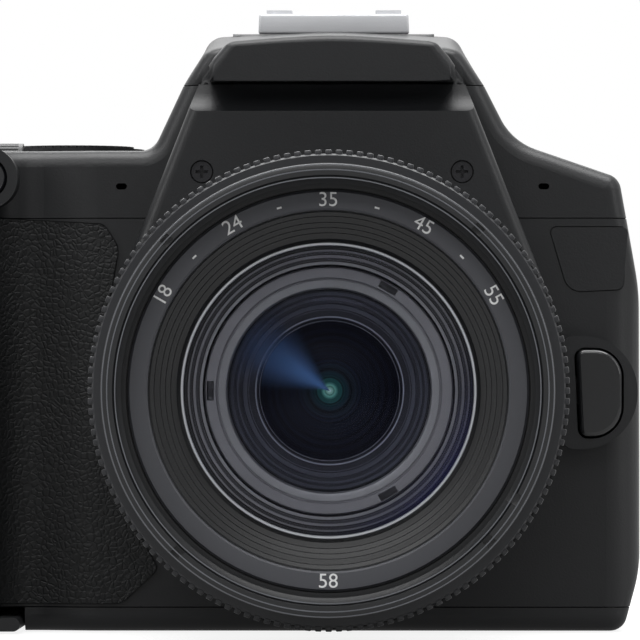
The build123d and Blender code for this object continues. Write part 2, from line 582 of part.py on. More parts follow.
# ---------------------------------------------------------------- screws
def screw(plane):
    """A small cross-recess screw; the plane is under its head, facing out of the hole."""
    rod(plane, SCREW_HEAD_RADIUS, SCREW_HEAD_HEIGHT)
    rod(plane.offset(-SCREW_LENGTH), SCREW_SHANK_RADIUS, SCREW_LENGTH)
    with BuildSketch(plane.offset(SCREW_HEAD_HEIGHT)) as recess:
        Rectangle(1.8, 0.45)
        Rectangle(0.45, 1.8)
    extrude(recess.sketch, amount=-0.6, mode=Mode.SUBTRACT)


with BuildPart() as cover_screws:
    for x, y, z in MOUNT_SCREWS + PANEL_SCREWS:
        screw(front_view(x, y + SCREW_HEAD_HEIGHT, z))
    for x, y in BASE_SCREWS:
        screw(Plane(origin=(x, y, BASE_SCREW_Z + SCREW_HEAD_HEIGHT), x_dir=(1, 0, 0), z_dir=(0, 0, -1)))
cover_screws.part.label = "cover_screws"
export_step(cover_screws.part, "parts/cover_screws.step")

# ---------------------------------------------------------------- body mount
BAYONET_ANGLES = (90, 210, 330)
BAYONET_WIDTH = 50
with BuildPart() as body_mount_ring:
    turned([(0, THROAT_RADIUS), (0, MOUNT_OUTER_RADIUS), (-MOUNT_STAND_OFF, MOUNT_OUTER_RADIUS),
            (-MOUNT_STAND_OFF, THROAT_RADIUS)])
    with BuildSketch(lens_at(-0.3)) as flanges:
        for angle in BAYONET_ANGLES:
            add(sector(MOUNT_FLANGE_RADIUS, THROAT_RADIUS + 0.5, angle, BAYONET_WIDTH))
    extrude(flanges.sketch, amount=-1.2)
    rod(front_view(LOCK_PIN[0], HOUSING_Y + 1, LOCK_PIN[1]), LOCK_PIN_RADIUS + FIT, CUT, mode=Mode.SUBTRACT)
    for x, y, z in MOUNT_SCREWS:
        rod(front_view(x, HOUSING_Y + 1, z), SCREW_SHANK_RADIUS + 0.05, CUT, mode=Mode.SUBTRACT)
        rod(front_view(x, y + SCREW_HEAD_HEIGHT, z), SCREW_HEAD_RADIUS + FIT, CUT, mode=Mode.SUBTRACT)
body_mount_ring.part.label = "body_mount_ring"
export_step(body_mount_ring.part, "parts/body_mount_ring.step")

# ---------------------------------------------------------------- mirror box and what it holds
BOX_HALF = 18.5
BOX_Z = (17.0, 53.0)
BOX_Y = (HOUSING_Y + WALL + 0.3, -1.0)
BOX_WALL = 2.5
MIRROR_HALF = 13.0
MIRROR_LENGTH = 27.0
MIRROR_PIVOT = (-5.0, 48.6)
MIRROR_THICKNESS = 1.2
MIRROR_PIN_RADIUS = 0.8

with BuildPart() as mirror_box:
    block((-BOX_HALF, BOX_Y[0], BOX_Z[0]), (BOX_HALF, BOX_Y[1], BOX_Z[1]))
    block((-BOX_HALF + BOX_WALL, -TALL, BOX_Z[0] + BOX_WALL),
          (BOX_HALF - BOX_WALL, TALL, BOX_Z[1] - BOX_WALL), mode=Mode.SUBTRACT)
    block((-MIRROR_HALF, BOX_Y[0] + 6, BOX_Z[1] - 5), (MIRROR_HALF, BOX_Y[1] - 6, TALL), mode=Mode.SUBTRACT)
    rod(side_view(-BOX_HALF + 1, *MIRROR_PIVOT), MIRROR_PIN_RADIUS + SEAT_GAP, 2 * BOX_HALF - 2,
        mode=Mode.SUBTRACT)
mirror_box.part.label = "mirror_box"
export_step(mirror_box.part, "parts/mirror_box.step")

REFLEX_PLANE = Plane(origin=(0, *MIRROR_PIVOT), x_dir=(1, 0, 0), z_dir=(0, -1, 1))
with BuildPart() as reflex_mirror:
    rod(side_view(-BOX_HALF + 1.2, *MIRROR_PIVOT), MIRROR_PIN_RADIUS, 2 * BOX_HALF - 2.4)
    with BuildSketch(REFLEX_PLANE) as plate:
        with Locations((0, -MIRROR_LENGTH / 2)):
            RectangleRounded(2 * MIRROR_HALF, MIRROR_LENGTH, 1.0)
    extrude(plate.sketch, amount=-MIRROR_THICKNESS / 2, both=True)
reflex_mirror.part.label = "reflex_mirror"
export_step(reflex_mirror.part, "parts/reflex_mirror.step")

with BuildPart() as focusing_screen:
    block((-15.5, BOX_Y[0] + 4, BOX_Z[1] + 0.2), (15.5, BOX_Y[1] - 4, BOX_Z[1] + 1.6))
focusing_screen.part.label = "focusing_screen"
export_step(focusing_screen.part, "parts/focusing_screen.step")

PRISM_SECTION = [(-16.0, 55.2), (7.0, 55.2), (13.0, 66.0), (13.0, 77.0), (-4.0, 77.4), (-16.0, 69.0)]
with BuildPart() as pentamirror:
    with BuildSketch(side_view(0, 0, 0)) as section:
        with BuildLine():
            Polyline(*PRISM_SECTION, close=True)
        make_face()
    extrude(section.sketch, amount=14.5, both=True)
    chamfer(pentamirror.faces().sort_by(Axis.Z)[-1].edges().filter_by(Axis.Y, tolerance=5), 4.0)
pentamirror.part.label = "pentamirror"
export_step(pentamirror.part, "parts/pentamirror.step")

with BuildPart() as eyepiece_lens:
    block((-EYEPIECE_HALF[0] + 0.1, REAR_Y - 4.5, EYEPIECE[1] - EYEPIECE_HALF[1] + 0.1),
          (EYEPIECE_HALF[0] - 0.1, REAR_Y - 0.6, EYEPIECE[1] + EYEPIECE_HALF[1] - 0.1))
    fillet(eyepiece_lens.edges().filter_by(Axis.Y), 1.0)
eyepiece_lens.part.label = "eyepiece_lens"
export_step(eyepiece_lens.part, "parts/eyepiece_lens.step")

EYECUP_DEPTH = 9.0
with BuildPart() as eyecup:
    with BuildSketch(rear_view(0, REAR_Y + 0.05, EYEPIECE[1])) as cup:
        RectangleRounded(2 * EYECUP_HALF[0], 2 * EYECUP_HALF[1], 6.0)
        RectangleRounded(2 * EYEPIECE_HALF[0], 2 * EYEPIECE_HALF[1], 2.0, mode=Mode.SUBTRACT)
    extrude(cup.sketch, amount=EYECUP_DEPTH)
    fillet(eyecup.faces().sort_by(Axis.Y)[-1].edges(), 0.8)
eyecup.part.label = "eyecup"
export_step(eyecup.part, "parts/eyecup.step")

with BuildPart() as shutter_unit:
    block((-BOX_HALF, BOX_Y[1] + 0.2, BOX_Z[0] + 1), (BOX_HALF, SENSOR_Y - 2.5, BOX_Z[1]))
    block((-11.8, -TALL, LENS_AXIS_Z - 8.0), (11.8, TALL, LENS_AXIS_Z + 8.0), mode=Mode.SUBTRACT)
    block((-14.0, BOX_Y[1] + 1.4, LENS_AXIS_Z - 10.5), (14.0, BOX_Y[1] + 2.0, LENS_AXIS_Z + 10.5))
shutter_unit.part.label = "shutter_unit"
export_step(shutter_unit.part, "parts/shutter_unit.step")

with BuildPart() as image_sensor:
    block((-13.5, SENSOR_Y - 2.2, LENS_AXIS_Z - 10), (13.5, SENSOR_Y, LENS_AXIS_Z + 10))
    block((-17.0, SENSOR_Y, LENS_AXIS_Z - 13), (17.0, SENSOR_Y + 1.2, LENS_AXIS_Z + 13))
image_sensor.part.label = "image_sensor"
export_step(image_sensor.part, "parts/image_sensor.step")

BOARD_Y = SENSOR_Y + 1.6
with BuildPart() as main_board:
    block((BODY_LEFT + 27.7, BOARD_Y, 8.0), (37.0, BOARD_Y + 1.2, 56.0))
    for low, high in PORT_COVERS.values():
        block((30.0, PORTS_Y[0] + 4.5, low + 3), (BODY_RIGHT - WALL - 0.8, PORTS_Y[1] - 2.5, high - 3))
        block((30.0, PORTS_Y[1] - 2.6, low + 5), (33.0, BOARD_Y + 0.5, high - 5))
main_board.part.label = "main_board"
export_step(main_board.part, "parts/main_board.step")

# ---------------------------------------------------------------- hot shoe
SHOE_LIP = 6.25
SHOE_SLOT_HALF = 9.3
SHOE_HEIGHT = 3.5
SHOE_THICKNESS = 0.8
with BuildPart() as hot_shoe:
    block((-SHOE_HALF, SHOE_FRONT_Y, SHOE_Z), (SHOE_HALF, SHOE_BACK_Y, SHOE_Z + SHOE_HEIGHT))
    block((-SHOE_SLOT_HALF, SHOE_FRONT_Y + 1.2, SHOE_Z + SHOE_THICKNESS),
          (SHOE_SLOT_HALF, TALL, SHOE_Z + SHOE_HEIGHT - SHOE_THICKNESS), mode=Mode.SUBTRACT)
    block((-SHOE_LIP, -TALL, SHOE_Z + SHOE_THICKNESS), (SHOE_LIP, TALL, TALL), mode=Mode.SUBTRACT)
    block((-SHOE_SLOT_HALF + 3, SHOE_FRONT_Y + 3, -TALL), (SHOE_SLOT_HALF - 3, SHOE_BACK_Y - 4, TALL),
          mode=Mode.SUBTRACT)
hot_shoe.part.label = "hot_shoe"
export_step(hot_shoe.part, "parts/hot_shoe.step")

with BuildPart() as hot_shoe_contacts:
    block((-SHOE_SLOT_HALF + 3.1, SHOE_FRONT_Y + 3.1, SHOE_Z + 0.05),
          (SHOE_SLOT_HALF - 3.1, SHOE_BACK_Y - 4.1, SHOE_Z + SHOE_THICKNESS))
    with Locations(Plane((0, SHOE_SCREW_Y - 1, SHOE_Z + SHOE_THICKNESS))):
        Cylinder(1.6, 0.2, align=(Align.CENTER, Align.CENTER, Align.MIN))
hot_shoe_contacts.part.label = "hot_shoe_contacts"
export_step(hot_shoe_contacts.part, "parts/hot_shoe_contacts.step")

# ---------------------------------------------------------------- flash head
WINDOW_HALF = 14.5
WINDOW_Y = (-34.0, -22.0)
WINDOW_POCKET = 5.5
HEAD_HALF_AT_PIVOT = 15.0
with BuildPart() as flash_head:
    add(BODY)
    block((-TALL, HEAD_PIVOT_Y, -TALL), (TALL, TALL, TALL), mode=Mode.SUBTRACT)
    add(housing_form(HEAD_Y, 0, HOUSING_ROUND))
    block((-TALL, -TALL, -TALL), (TALL, TALL, HEAD_Z), mode=Mode.SUBTRACT)
    rod(side_view(-HEAD_HALF_AT_PIVOT, HEAD_PIVOT_Y, HEAD_PIVOT_Z), HEAD_BARREL_RADIUS,
        2 * HEAD_HALF_AT_PIVOT)
    block((-WINDOW_HALF, WINDOW_Y[0], HEAD_Z - 1), (WINDOW_HALF, WINDOW_Y[1], HEAD_Z + WINDOW_POCKET),
          mode=Mode.SUBTRACT)
flash_head.part.label = "flash_head"
export_step(flash_head.part, "parts/flash_head.step")

with BuildPart() as flash_window:
    block((-WINDOW_HALF + 0.1, WINDOW_Y[0] + 0.1, HEAD_Z + 0.1),
          (WINDOW_HALF - 0.1, WINDOW_Y[1] - 0.1, HEAD_Z + 1.8))
flash_window.part.label = "flash_window"
export_step(flash_window.part, "parts/flash_window.step")

# ---------------------------------------------------------------- top controls
DIAL_TOP = SHOULDER_Z + 1.4
with BuildPart() as mode_dial:
    rod(Plane((*MODE_DIAL, SHOULDER_Z - 2.6)), MODE_DIAL_RADIUS, DIAL_TOP - SHOULDER_Z + 2.6)
    with Locations(Plane((*MODE_DIAL, DIAL_TOP - 1.2))):
        with PolarLocations(MODE_DIAL_RADIUS + 0.1, 48):
            Cylinder(0.32, 2.4, mode=Mode.SUBTRACT)
    rod(Plane((*MODE_DIAL, SHOULDER_Z - 7)), 2.0, 5)
mode_dial.part.label = "mode_dial"
export_step(mode_dial.part, "parts/mode_dial.step")

with BuildPart() as power_switch:
    rod(Plane((*MODE_DIAL, SHOULDER_Z + 0.1)), SWITCH_RADIUS, 0.9)
    block((MODE_DIAL[0] - 1.6, MODE_DIAL[1], SHOULDER_Z + 0.1),
          (MODE_DIAL[0] + 1.6, MODE_DIAL[1] + SWITCH_RADIUS + 2.6, SHOULDER_Z + 1.4))
    rod(Plane((*MODE_DIAL, SHOULDER_Z - 2)), MODE_DIAL_RADIUS + FIT, CUT, mode=Mode.SUBTRACT)
power_switch.part.label = "power_switch"
export_step(power_switch.part, "parts/power_switch.step")

with BuildPart() as main_dial:
    rod(side_view(MAIN_DIAL_CENTRE[0] - MAIN_DIAL_WIDTH / 2, *MAIN_DIAL_CENTRE[1:]), MAIN_DIAL_RADIUS,
        MAIN_DIAL_WIDTH)
    with Locations(side_view(*MAIN_DIAL_CENTRE)):
        with PolarLocations(MAIN_DIAL_RADIUS + 0.1, 36):
            Cylinder(0.35, MAIN_DIAL_WIDTH - 1.2, mode=Mode.SUBTRACT)
main_dial.part.label = "main_dial"
export_step(main_dial.part, "parts/main_dial.step")

with BuildPart() as shutter_button:
    rod(Plane((*SHUTTER_BUTTON, SHOULDER_Z - 2.8)), SHUTTER_BUTTON_RADIUS, 4.4)
    fillet(shutter_button.faces().sort_by(Axis.Z)[-1].edges(), 0.8)
shutter_button.part.label = "shutter_button"
export_step(shutter_button.part, "parts/shutter_button.step")

with BuildPart() as iso_button:
    rod(Plane((*ISO_BUTTON, SHOULDER_Z - 2.8)), ISO_BUTTON_RADIUS, 3.8)
    fillet(iso_button.faces().sort_by(Axis.Z)[-1].edges(), 0.5)
iso_button.part.label = "iso_button"
export_step(iso_button.part, "parts/iso_button.step")

# ---------------------------------------------------------------- rear controls
BUTTON_DEPTH = 3.2
for name, (x, z) in {**MENU_BUTTONS, **COVER_BUTTONS}.items():
    with BuildPart() as button:
        rod(rear_view(x, REAR_Y + BUTTON_STANDS - BUTTON_DEPTH, z), REAR_BUTTON_RADIUS, BUTTON_DEPTH)
        fillet(button.faces().sort_by(Axis.Y)[-1].edges(), 0.5)
    button.part.label = name
    export_step(button.part, f"parts/{name}.step")

with BuildPart() as four_way_pad:
    rod(rear_view(PAD[0], REAR_Y + BUTTON_STANDS - BUTTON_DEPTH, PAD[1]), PAD_RADIUS, BUTTON_DEPTH)
    rod(rear_view(PAD[0], 0, PAD[1]), SET_RADIUS + FIT, TALL, mode=Mode.SUBTRACT)
    fillet(four_way_pad.faces().sort_by(Axis.Y)[-1].edges(), 0.4)
four_way_pad.part.label = "four_way_pad"
export_step(four_way_pad.part, "parts/four_way_pad.step")

with BuildPart() as set_button:
    rod(rear_view(PAD[0], REAR_Y + BUTTON_STANDS - BUTTON_DEPTH, PAD[1]), SET_RADIUS, BUTTON_DEPTH - 0.1)
    fillet(set_button.faces().sort_by(Axis.Y)[-1].edges(), 0.4)
set_button.part.label = "set_button"
export_step(set_button.part, "parts/set_button.step")

with BuildPart() as diopter_dial:
    rod(rear_view(DIOPTRE[0], REAR_Y + 1.4 - BUTTON_DEPTH, DIOPTRE[1]), DIOPTRE_RADIUS, BUTTON_DEPTH)
diopter_dial.part.label = "diopter_dial"
export_step(diopter_dial.part, "parts/diopter_dial.step")

# ---------------------------------------------------------------- folding screen
SCREEN_MIDDLE_Z = (SCREEN_LOW + SCREEN_HIGH) / 2
ARM_HALF = 9.0
ARM_REACH = 4.0              # the arm reaches this far into the frame
ARM_CLEAR = 0.3
GLASS_INSET = 2.6
with BuildPart() as screen_arm:
    rod(Plane((SCREEN_PIVOT_X, SCREEN_PIVOT_Y, SCREEN_MIDDLE_Z - ARM_HALF)), SCREEN_BARREL_RADIUS,
        2 * ARM_HALF)
    block((SCREEN_RIGHT - ARM_REACH, SCREEN_PIVOT_Y - 2.6, SCREEN_MIDDLE_Z - ARM_HALF + 0.5),
          (SCREEN_PIVOT_X, SCREEN_PIVOT_Y + 2.4, SCREEN_MIDDLE_Z + ARM_HALF - 0.5))
screen_arm.part.label = "screen_arm"
export_step(screen_arm.part, "parts/screen_arm.step")

with BuildPart() as screen_frame:
    block((SCREEN_LEFT, SCREEN_BACK_Y, SCREEN_LOW), (SCREEN_RIGHT, SCREEN_FACE_Y, SCREEN_HIGH))
    fillet(screen_frame.edges().filter_by(Axis.Y), 2.5)
    fillet(screen_frame.faces().sort_by(Axis.Y)[-1].edges(), 0.6)
    block((SCREEN_RIGHT - ARM_REACH - ARM_CLEAR, -TALL, SCREEN_MIDDLE_Z - ARM_HALF),
          (TALL, TALL, SCREEN_MIDDLE_Z + ARM_HALF), mode=Mode.SUBTRACT)
    block((SCREEN_LEFT + GLASS_INSET - 0.1, SCREEN_FACE_Y - 0.9, SCREEN_LOW + GLASS_INSET - 0.1),
          (SCREEN_RIGHT - 6.9, TALL, SCREEN_HIGH - GLASS_INSET + 0.1), mode=Mode.SUBTRACT)
screen_frame.part.label = "screen_frame"
export_step(screen_frame.part, "parts/screen_frame.step")

with BuildPart() as screen_glass:
    block((SCREEN_LEFT + GLASS_INSET, SCREEN_FACE_Y - 0.85, SCREEN_LOW + GLASS_INSET),
          (SCREEN_RIGHT - 7.0, SCREEN_FACE_Y - 0.05, SCREEN_HIGH - GLASS_INSET))
screen_glass.part.label = "screen_glass"
export_step(screen_glass.part, "parts/screen_glass.step")

# ---------------------------------------------------------------- port covers, lens release
for name, (low, high) in PORT_COVERS.items():
    with BuildPart() as port_cover:
        block((SIDE_X - PORT_COVER_THICKNESS, PORTS_Y[0], low), (SIDE_X, PORTS_Y[1], high))
        rod(Plane((SIDE_X - PORT_BARREL_RADIUS, PORTS_Y[0], low)), PORT_BARREL_RADIUS, high - low)
    port_cover.part.label = name
    export_step(port_cover.part, f"parts/{name}.step")

RELEASE_FACE_Y = RELEASE_BOSS_Y - 1.0
LINK_Y = HOUSING_BACK_Y + 0.4
with BuildPart() as lens_release_button:
    prism(front_view(0, LINK_Y + 2, 0), RELEASE_CORNERS, LINK_Y + 2 - RELEASE_FACE_Y)
    fillet(lens_release_button.faces().sort_by(Axis.Y)[0].edges(), 0.6)
    block((LOCK_PIN[0] - 2, LINK_Y, LOCK_PIN[1] - 2),
          (RELEASE_CORNERS[1][0] - 1, LINK_Y + 2, LOCK_PIN[1] + 2))
    rod(front_view(LOCK_PIN[0], LINK_Y + 1, LOCK_PIN[1]), LOCK_PIN_RADIUS, LINK_Y + 1 - FLANGE_Y + 1.0)
lens_release_button.part.label = "lens_release_button"
export_step(lens_release_button.part, "parts/lens_release_button.step")

# ---------------------------------------------------------------- fixed part of the lens
PLATE_THICKNESS = 1.6
with BuildPart() as lens_mount_plate:
    turned([(0, COLLAR_BORE), (PLATE_THICKNESS, COLLAR_BORE), (PLATE_THICKNESS, BARREL_RADIUS - 1.4),
            (0, BARREL_RADIUS - 1.4)])
    turned([(0, COLLAR_BORE), (0, COLLAR_RADIUS), (-4.3, COLLAR_RADIUS), (-4.3, COLLAR_BORE)])
    with BuildSketch(lens_at(-3.0)) as tabs:
        for angle in BAYONET_ANGLES:
            add(sector(COLLAR_RADIUS - 0.5, THROAT_RADIUS - 0.4, angle, BAYONET_WIDTH - 2))
    extrude(tabs.sketch, amount=1.2)
    rod(front_view(LOCK_PIN[0], FLANGE_Y + 1, LOCK_PIN[1]), LOCK_PIN_RADIUS + FIT, 2.2, mode=Mode.SUBTRACT)
lens_mount_plate.part.label = "lens_mount_plate"
export_step(lens_mount_plate.part, "parts/lens_mount_plate.step")

SWITCH_PAD_X = 32.7
SWITCH_D = {"focus_mode_switch": 5.6, "stabiliser_switch": 10.8}
SWITCH_HALF = 1.5
SWITCH_TRAVEL = 2.6
SWITCH_WELL_X = 31.0
SWITCH_KNOB_X = 33.6


def switch_box(distance, low_x, high_x, below, above, mode=Mode.ADD, grow=0):
    """A box on the +X side of the lens barrel, round a switch's place."""
    middle = FLANGE_Y - distance
    block((low_x, middle - SWITCH_HALF - grow, LENS_AXIS_Z - below), (high_x, middle + SWITCH_HALF + grow,
          LENS_AXIS_Z + above), mode=mode)


with BuildPart() as lens_barrel:
    turned([
        (PLATE_THICKNESS, COLLAR_BORE), (PLATE_THICKNESS, BARREL_RADIUS - 1.2), (5.0, BARREL_RADIUS),
        (ZOOM_START - 0.4, BARREL_RADIUS), (ZOOM_START - 0.4, GUIDE_RADIUS), (ZOOM_END + 0.9, GUIDE_RADIUS),
        (ZOOM_END + 0.9, GUIDE_BORE), (3.4, GUIDE_BORE), (3.4, COLLAR_BORE),
    ])
    block((GUIDE_RADIUS - 1, FLANGE_Y - 13.8, LENS_AXIS_Z - 7),
          (SWITCH_PAD_X, FLANGE_Y - 3.0, LENS_AXIS_Z + 7))
    turned([(3.4, 0), (3.4, GUIDE_BORE), (ZOOM_END, GUIDE_BORE), (ZOOM_END, 0)], mode=Mode.SUBTRACT)
    for distance in SWITCH_D.values():
        switch_box(distance, SWITCH_WELL_X, TALL, SWITCH_HALF + FIT, SWITCH_HALF + SWITCH_TRAVEL + FIT,
                   mode=Mode.SUBTRACT, grow=FIT)
lens_barrel.part.label = "lens_barrel"
export_step(lens_barrel.part, "parts/lens_barrel.step")

for name, distance in SWITCH_D.items():
    with BuildPart() as lens_switch:
        switch_box(distance, SWITCH_WELL_X + 0.15, SWITCH_KNOB_X, SWITCH_HALF, SWITCH_HALF)
    lens_switch.part.label = name
    export_step(lens_switch.part, f"parts/{name}.step")

with BuildPart() as zoom_ring:
    turned([
        (ZOOM_START, GUIDE_RADIUS + RING_FIT), (ZOOM_START, LENS_RADIUS - RIB_HEIGHT),
        (ZOOM_END, LENS_RADIUS - RIB_HEIGHT), (ZOOM_END, GUIDE_RADIUS + RING_FIT),
    ])
    with BuildSketch(lens_at(ZOOM_START + 2.5)) as ribs:
        for k in range(ZOOM_RIBS):
            add(sector(LENS_RADIUS - RIB_HEIGHT - 0.3, LENS_RADIUS, k * RIB_PITCH, RIB_SHARE * RIB_PITCH))
    extrude(ribs.sketch, amount=ZOOM_END - ZOOM_START - 5)
zoom_ring.part.label = "zoom_ring"
export_step(zoom_ring.part, "parts/zoom_ring.step")

with BuildPart() as rear_element:
    turned([(-3.4, 0), (-3.8, 8.0), (-3.4, 11.0), (2.6, 11.0), (3.6, 0)])
    turned([(-4.2, 11.1), (-4.2, 12.6), (-2.0, 14.0), (1.6, COLLAR_BORE - 0.1), (3.3, COLLAR_BORE - 0.1),
            (3.3, 11.1)])
rear_element.part.label = "rear_element"
export_step(rear_element.part, "parts/rear_element.step")

# ---------------------------------------------------------------- moving part of the lens
TUBE_RADIUS = GUIDE_BORE - 0.3
TUBE_BORE = 27.7
TUBE_START = 12.0
FILTER_FLOOR = LENS_LENGTH - FILTER_DEPTH
NAME_RING_SEAT = FILTER_FLOOR - NAME_RING_THICKNESS - SEAT_GAP
ELEMENT_SEAT = 46.6
CELL_SEAT = 38.5
BAFFLE_STEPS = [
    (NAME_RING_SEAT, NAME_RING_INNER), (52.6, NAME_RING_INNER - 0.6), (52.4, NAME_RING_INNER - 1.6),
    (50.6, NAME_RING_INNER - 2.0), (50.4, NAME_RING_INNER - 3.2), (49.2, ELEMENT_RADIUS + 0.1),
]
with BuildPart() as inner_barrel:
    turned([
        (TUBE_START, TUBE_BORE), (TUBE_START, TUBE_RADIUS), (HEAD_START, TUBE_RADIUS),
        (HEAD_START, LENS_RADIUS - 1.2), (FOCUS_START - 0.2, LENS_RADIUS - 1.2),
        (FOCUS_START - 0.2, FOCUS_SEAT_RADIUS), (FOCUS_END + 0.2, FOCUS_SEAT_RADIUS),
        (FOCUS_END + 0.2, RIM_RADIUS), (LENS_LENGTH - 0.6, RIM_RADIUS), (LENS_LENGTH, RIM_RADIUS - 0.6),
        (LENS_LENGTH, FILTER_BORE + 0.4), (LENS_LENGTH - 0.5, FILTER_BORE), (FILTER_FLOOR, FILTER_BORE),
        (FILTER_FLOOR, NAME_RING_RADIUS), (NAME_RING_SEAT, NAME_RING_RADIUS), *BAFFLE_STEPS,
        (ELEMENT_SEAT, ELEMENT_RADIUS + 0.1), (ELEMENT_SEAT, CELL_RADIUS + 0.1),
        (CELL_SEAT, CELL_RADIUS + 0.1), (CELL_SEAT, TUBE_BORE),
    ])
inner_barrel.part.label = "inner_barrel"
export_step(inner_barrel.part, "parts/inner_barrel.step")

with BuildPart() as focus_ring:
    turned([
        (FOCUS_START, FOCUS_SEAT_RADIUS + RING_FIT), (FOCUS_START, LENS_RADIUS), (FOCUS_END, LENS_RADIUS),
        (FOCUS_END, FOCUS_SEAT_RADIUS + RING_FIT),
    ])
    with Locations(lens_at((FOCUS_START + FOCUS_END) / 2)):
        with PolarLocations(LENS_RADIUS + 0.2, FOCUS_GROOVES):
            Cylinder(0.6, FOCUS_END - FOCUS_START - 1.6, mode=Mode.SUBTRACT)
focus_ring.part.label = "focus_ring"
export_step(focus_ring.part, "parts/focus_ring.step")

with BuildPart() as name_ring:
    turned([
        (NAME_RING_SEAT + SEAT_GAP, NAME_RING_INNER), (NAME_RING_SEAT + SEAT_GAP, NAME_RING_RADIUS - 0.1),
        (FILTER_FLOOR, NAME_RING_RADIUS - 0.1), (FILTER_FLOOR, NAME_RING_INNER),
    ])
name_ring.part.label = "name_ring"
export_step(name_ring.part, "parts/name_ring.step")


def half_way(apex, edge, radius):
    """The point of a spherical surface at half its edge radius."""
    sag = apex - edge
    sphere = (radius**2 + sag**2) / (2 * abs(sag))
    depth = sphere - math.sqrt(sphere**2 - radius**2 / 4)
    return apex - math.copysign(depth, sag), radius / 2


def glass(front_apex, front_edge, rear_edge, rear_apex, radius):
    """A round lens element, from the distances of its surfaces at the middle and at the edge."""
    with BuildSketch(LENS_PROFILE) as section:
        with BuildLine():
            ThreePointArc((front_edge, radius), half_way(front_apex, front_edge, radius), (front_apex, 0))
            Line((front_apex, 0), (rear_apex, 0))
            ThreePointArc((rear_apex, 0), half_way(rear_apex, rear_edge, radius), (rear_edge, radius))
            Line((rear_edge, radius), (front_edge, radius))
        make_face()
    revolve(section.sketch, axis=LENS_AXIS)


with BuildPart() as front_element:
    glass(51.4, 48.8, ELEMENT_SEAT + 0.1, 48.6, ELEMENT_RADIUS)
front_element.part.label = "front_element"
export_step(front_element.part, "parts/front_element.step")

NOTCHES = 3
with BuildPart() as inner_cell:
    turned([
        (39.0, INNER_ELEMENT_RADIUS + 0.1), (39.0, CELL_RADIUS), (45.6, CELL_RADIUS), (45.6, 15.6),
        (45.0, 15.6), (45.0, INNER_ELEMENT_RADIUS + 0.4), (44.4, INNER_ELEMENT_RADIUS + 0.1),
    ])
    with Locations(lens_at(45.6)):
        with PolarLocations(16.4, NOTCHES, start_angle=60):
            Box(1.2, 2.7, 2.0, mode=Mode.SUBTRACT)
inner_cell.part.label = "inner_cell"
export_step(inner_cell.part, "parts/inner_cell.step")

with BuildPart() as inner_element:
    glass(44.6, 42.8, 41.2, 39.6, INNER_ELEMENT_RADIUS)
inner_element.part.label = "inner_element"
export_step(inner_element.part, "parts/inner_element.step")
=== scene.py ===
import json
import math

import bpy
from bpy.props import FloatProperty, IntProperty, PointerProperty, StringProperty
from mathutils import Matrix, Vector


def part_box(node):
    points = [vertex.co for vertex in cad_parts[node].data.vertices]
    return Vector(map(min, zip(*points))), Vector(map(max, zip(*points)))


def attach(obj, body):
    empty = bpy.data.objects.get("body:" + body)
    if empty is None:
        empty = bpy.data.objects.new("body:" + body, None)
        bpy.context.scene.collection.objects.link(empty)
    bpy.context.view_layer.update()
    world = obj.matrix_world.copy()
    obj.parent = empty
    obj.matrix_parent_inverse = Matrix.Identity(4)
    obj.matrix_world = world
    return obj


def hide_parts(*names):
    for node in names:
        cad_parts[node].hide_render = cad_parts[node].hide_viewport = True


bl_info = {
    "name": "Reflex camera finish",
    "version": (1, 0, 0),
    "blender": (4, 5, 0),
    "location": "View3D > Sidebar > Camera",
    "description": "Finishes a small reflex camera and its zoom lens, piece by piece",
    "category": "Object",
}

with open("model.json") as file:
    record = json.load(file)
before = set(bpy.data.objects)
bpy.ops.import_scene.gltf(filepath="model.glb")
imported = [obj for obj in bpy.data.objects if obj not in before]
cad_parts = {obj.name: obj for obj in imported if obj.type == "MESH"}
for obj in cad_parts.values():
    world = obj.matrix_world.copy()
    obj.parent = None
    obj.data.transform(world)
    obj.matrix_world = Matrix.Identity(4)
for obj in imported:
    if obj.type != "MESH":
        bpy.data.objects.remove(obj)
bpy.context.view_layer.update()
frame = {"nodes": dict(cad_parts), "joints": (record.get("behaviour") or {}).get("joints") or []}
MM = 0.001


# ---------------------------------------------------------------- sizes read from the frame
def joint(name):
    """A joint of the frame, by name."""
    return next(entry for entry in frame["joints"] if entry["name"] == name)


def size_of(node):
    """The lowest corner and the highest corner of a node, in millimetres."""
    return [[value / MM for value in corner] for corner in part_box(node)]


LENS_AXIS_Z = joint("zoom_ring_turn")["pos_m"][2] / MM
LENS_FRONT_Y = size_of("inner_barrel")[0][1]
# from the mounting flange to the front of the rim, with the zoom at rest (mm)
LENS_LENGTH = 61.8
FLANGE_Y = LENS_FRONT_Y + LENS_LENGTH
# the microphone slots of the top cover: name and x, then their height and the middle of each pad (mm)
MICROPHONES = (("grip_side", -31.0), ("release_side", 31.0))
MICROPHONE_Z = 65.3
MICROPHONE_Y = -21.6
FELT_SIZE = (3.6, 0.5, 2.6)

# corners closer than this are one corner (mm)
DOUBLES_MM = 0.002
# the front ring's numerals: how far they stand off its face, their circle and their size (mm)
INK_LIFT = 0.005
NUMERAL_RADIUS = 26.1
NUMERAL_SIZE = 2.8
# focal lengths on the front ring and the angle of each, with a dash half way between them
FOCAL_LENGTHS = (("18", 150), ("24", 120), ("35", 90), ("45", 60), ("55", 30))
DASH_ANGLES = (135, 105, 75, 45)

# the mode dial: how many marks stand round it, how many of them are numerals, and their circle (mm)
DIAL_MARKS = 10
DIAL_NUMERALS = 3
DIAL_MARK_RADIUS = 6.6
DIAL_MARK_LIFT = 0.01
DIAL_NUMERAL_SIZE = 2.6
DIAL_BAR_SIZE = (0.45, 1.6, 0.03)

# the flash head: where its faces are divided before it is shaped (mm)
HEAD_CUTS_X = (-19, -17, -14, -10, -6, -3, 0, 3, 6, 10, 14, 17, 19)
HEAD_CUTS_Y = (-21, -17, -13, -9)
# its top falls this far at the front, and this much further at each side (mm)
HEAD_DROP = 1.9
HEAD_CROWN = 0.9
HEAD_HALF_WIDTH = 19
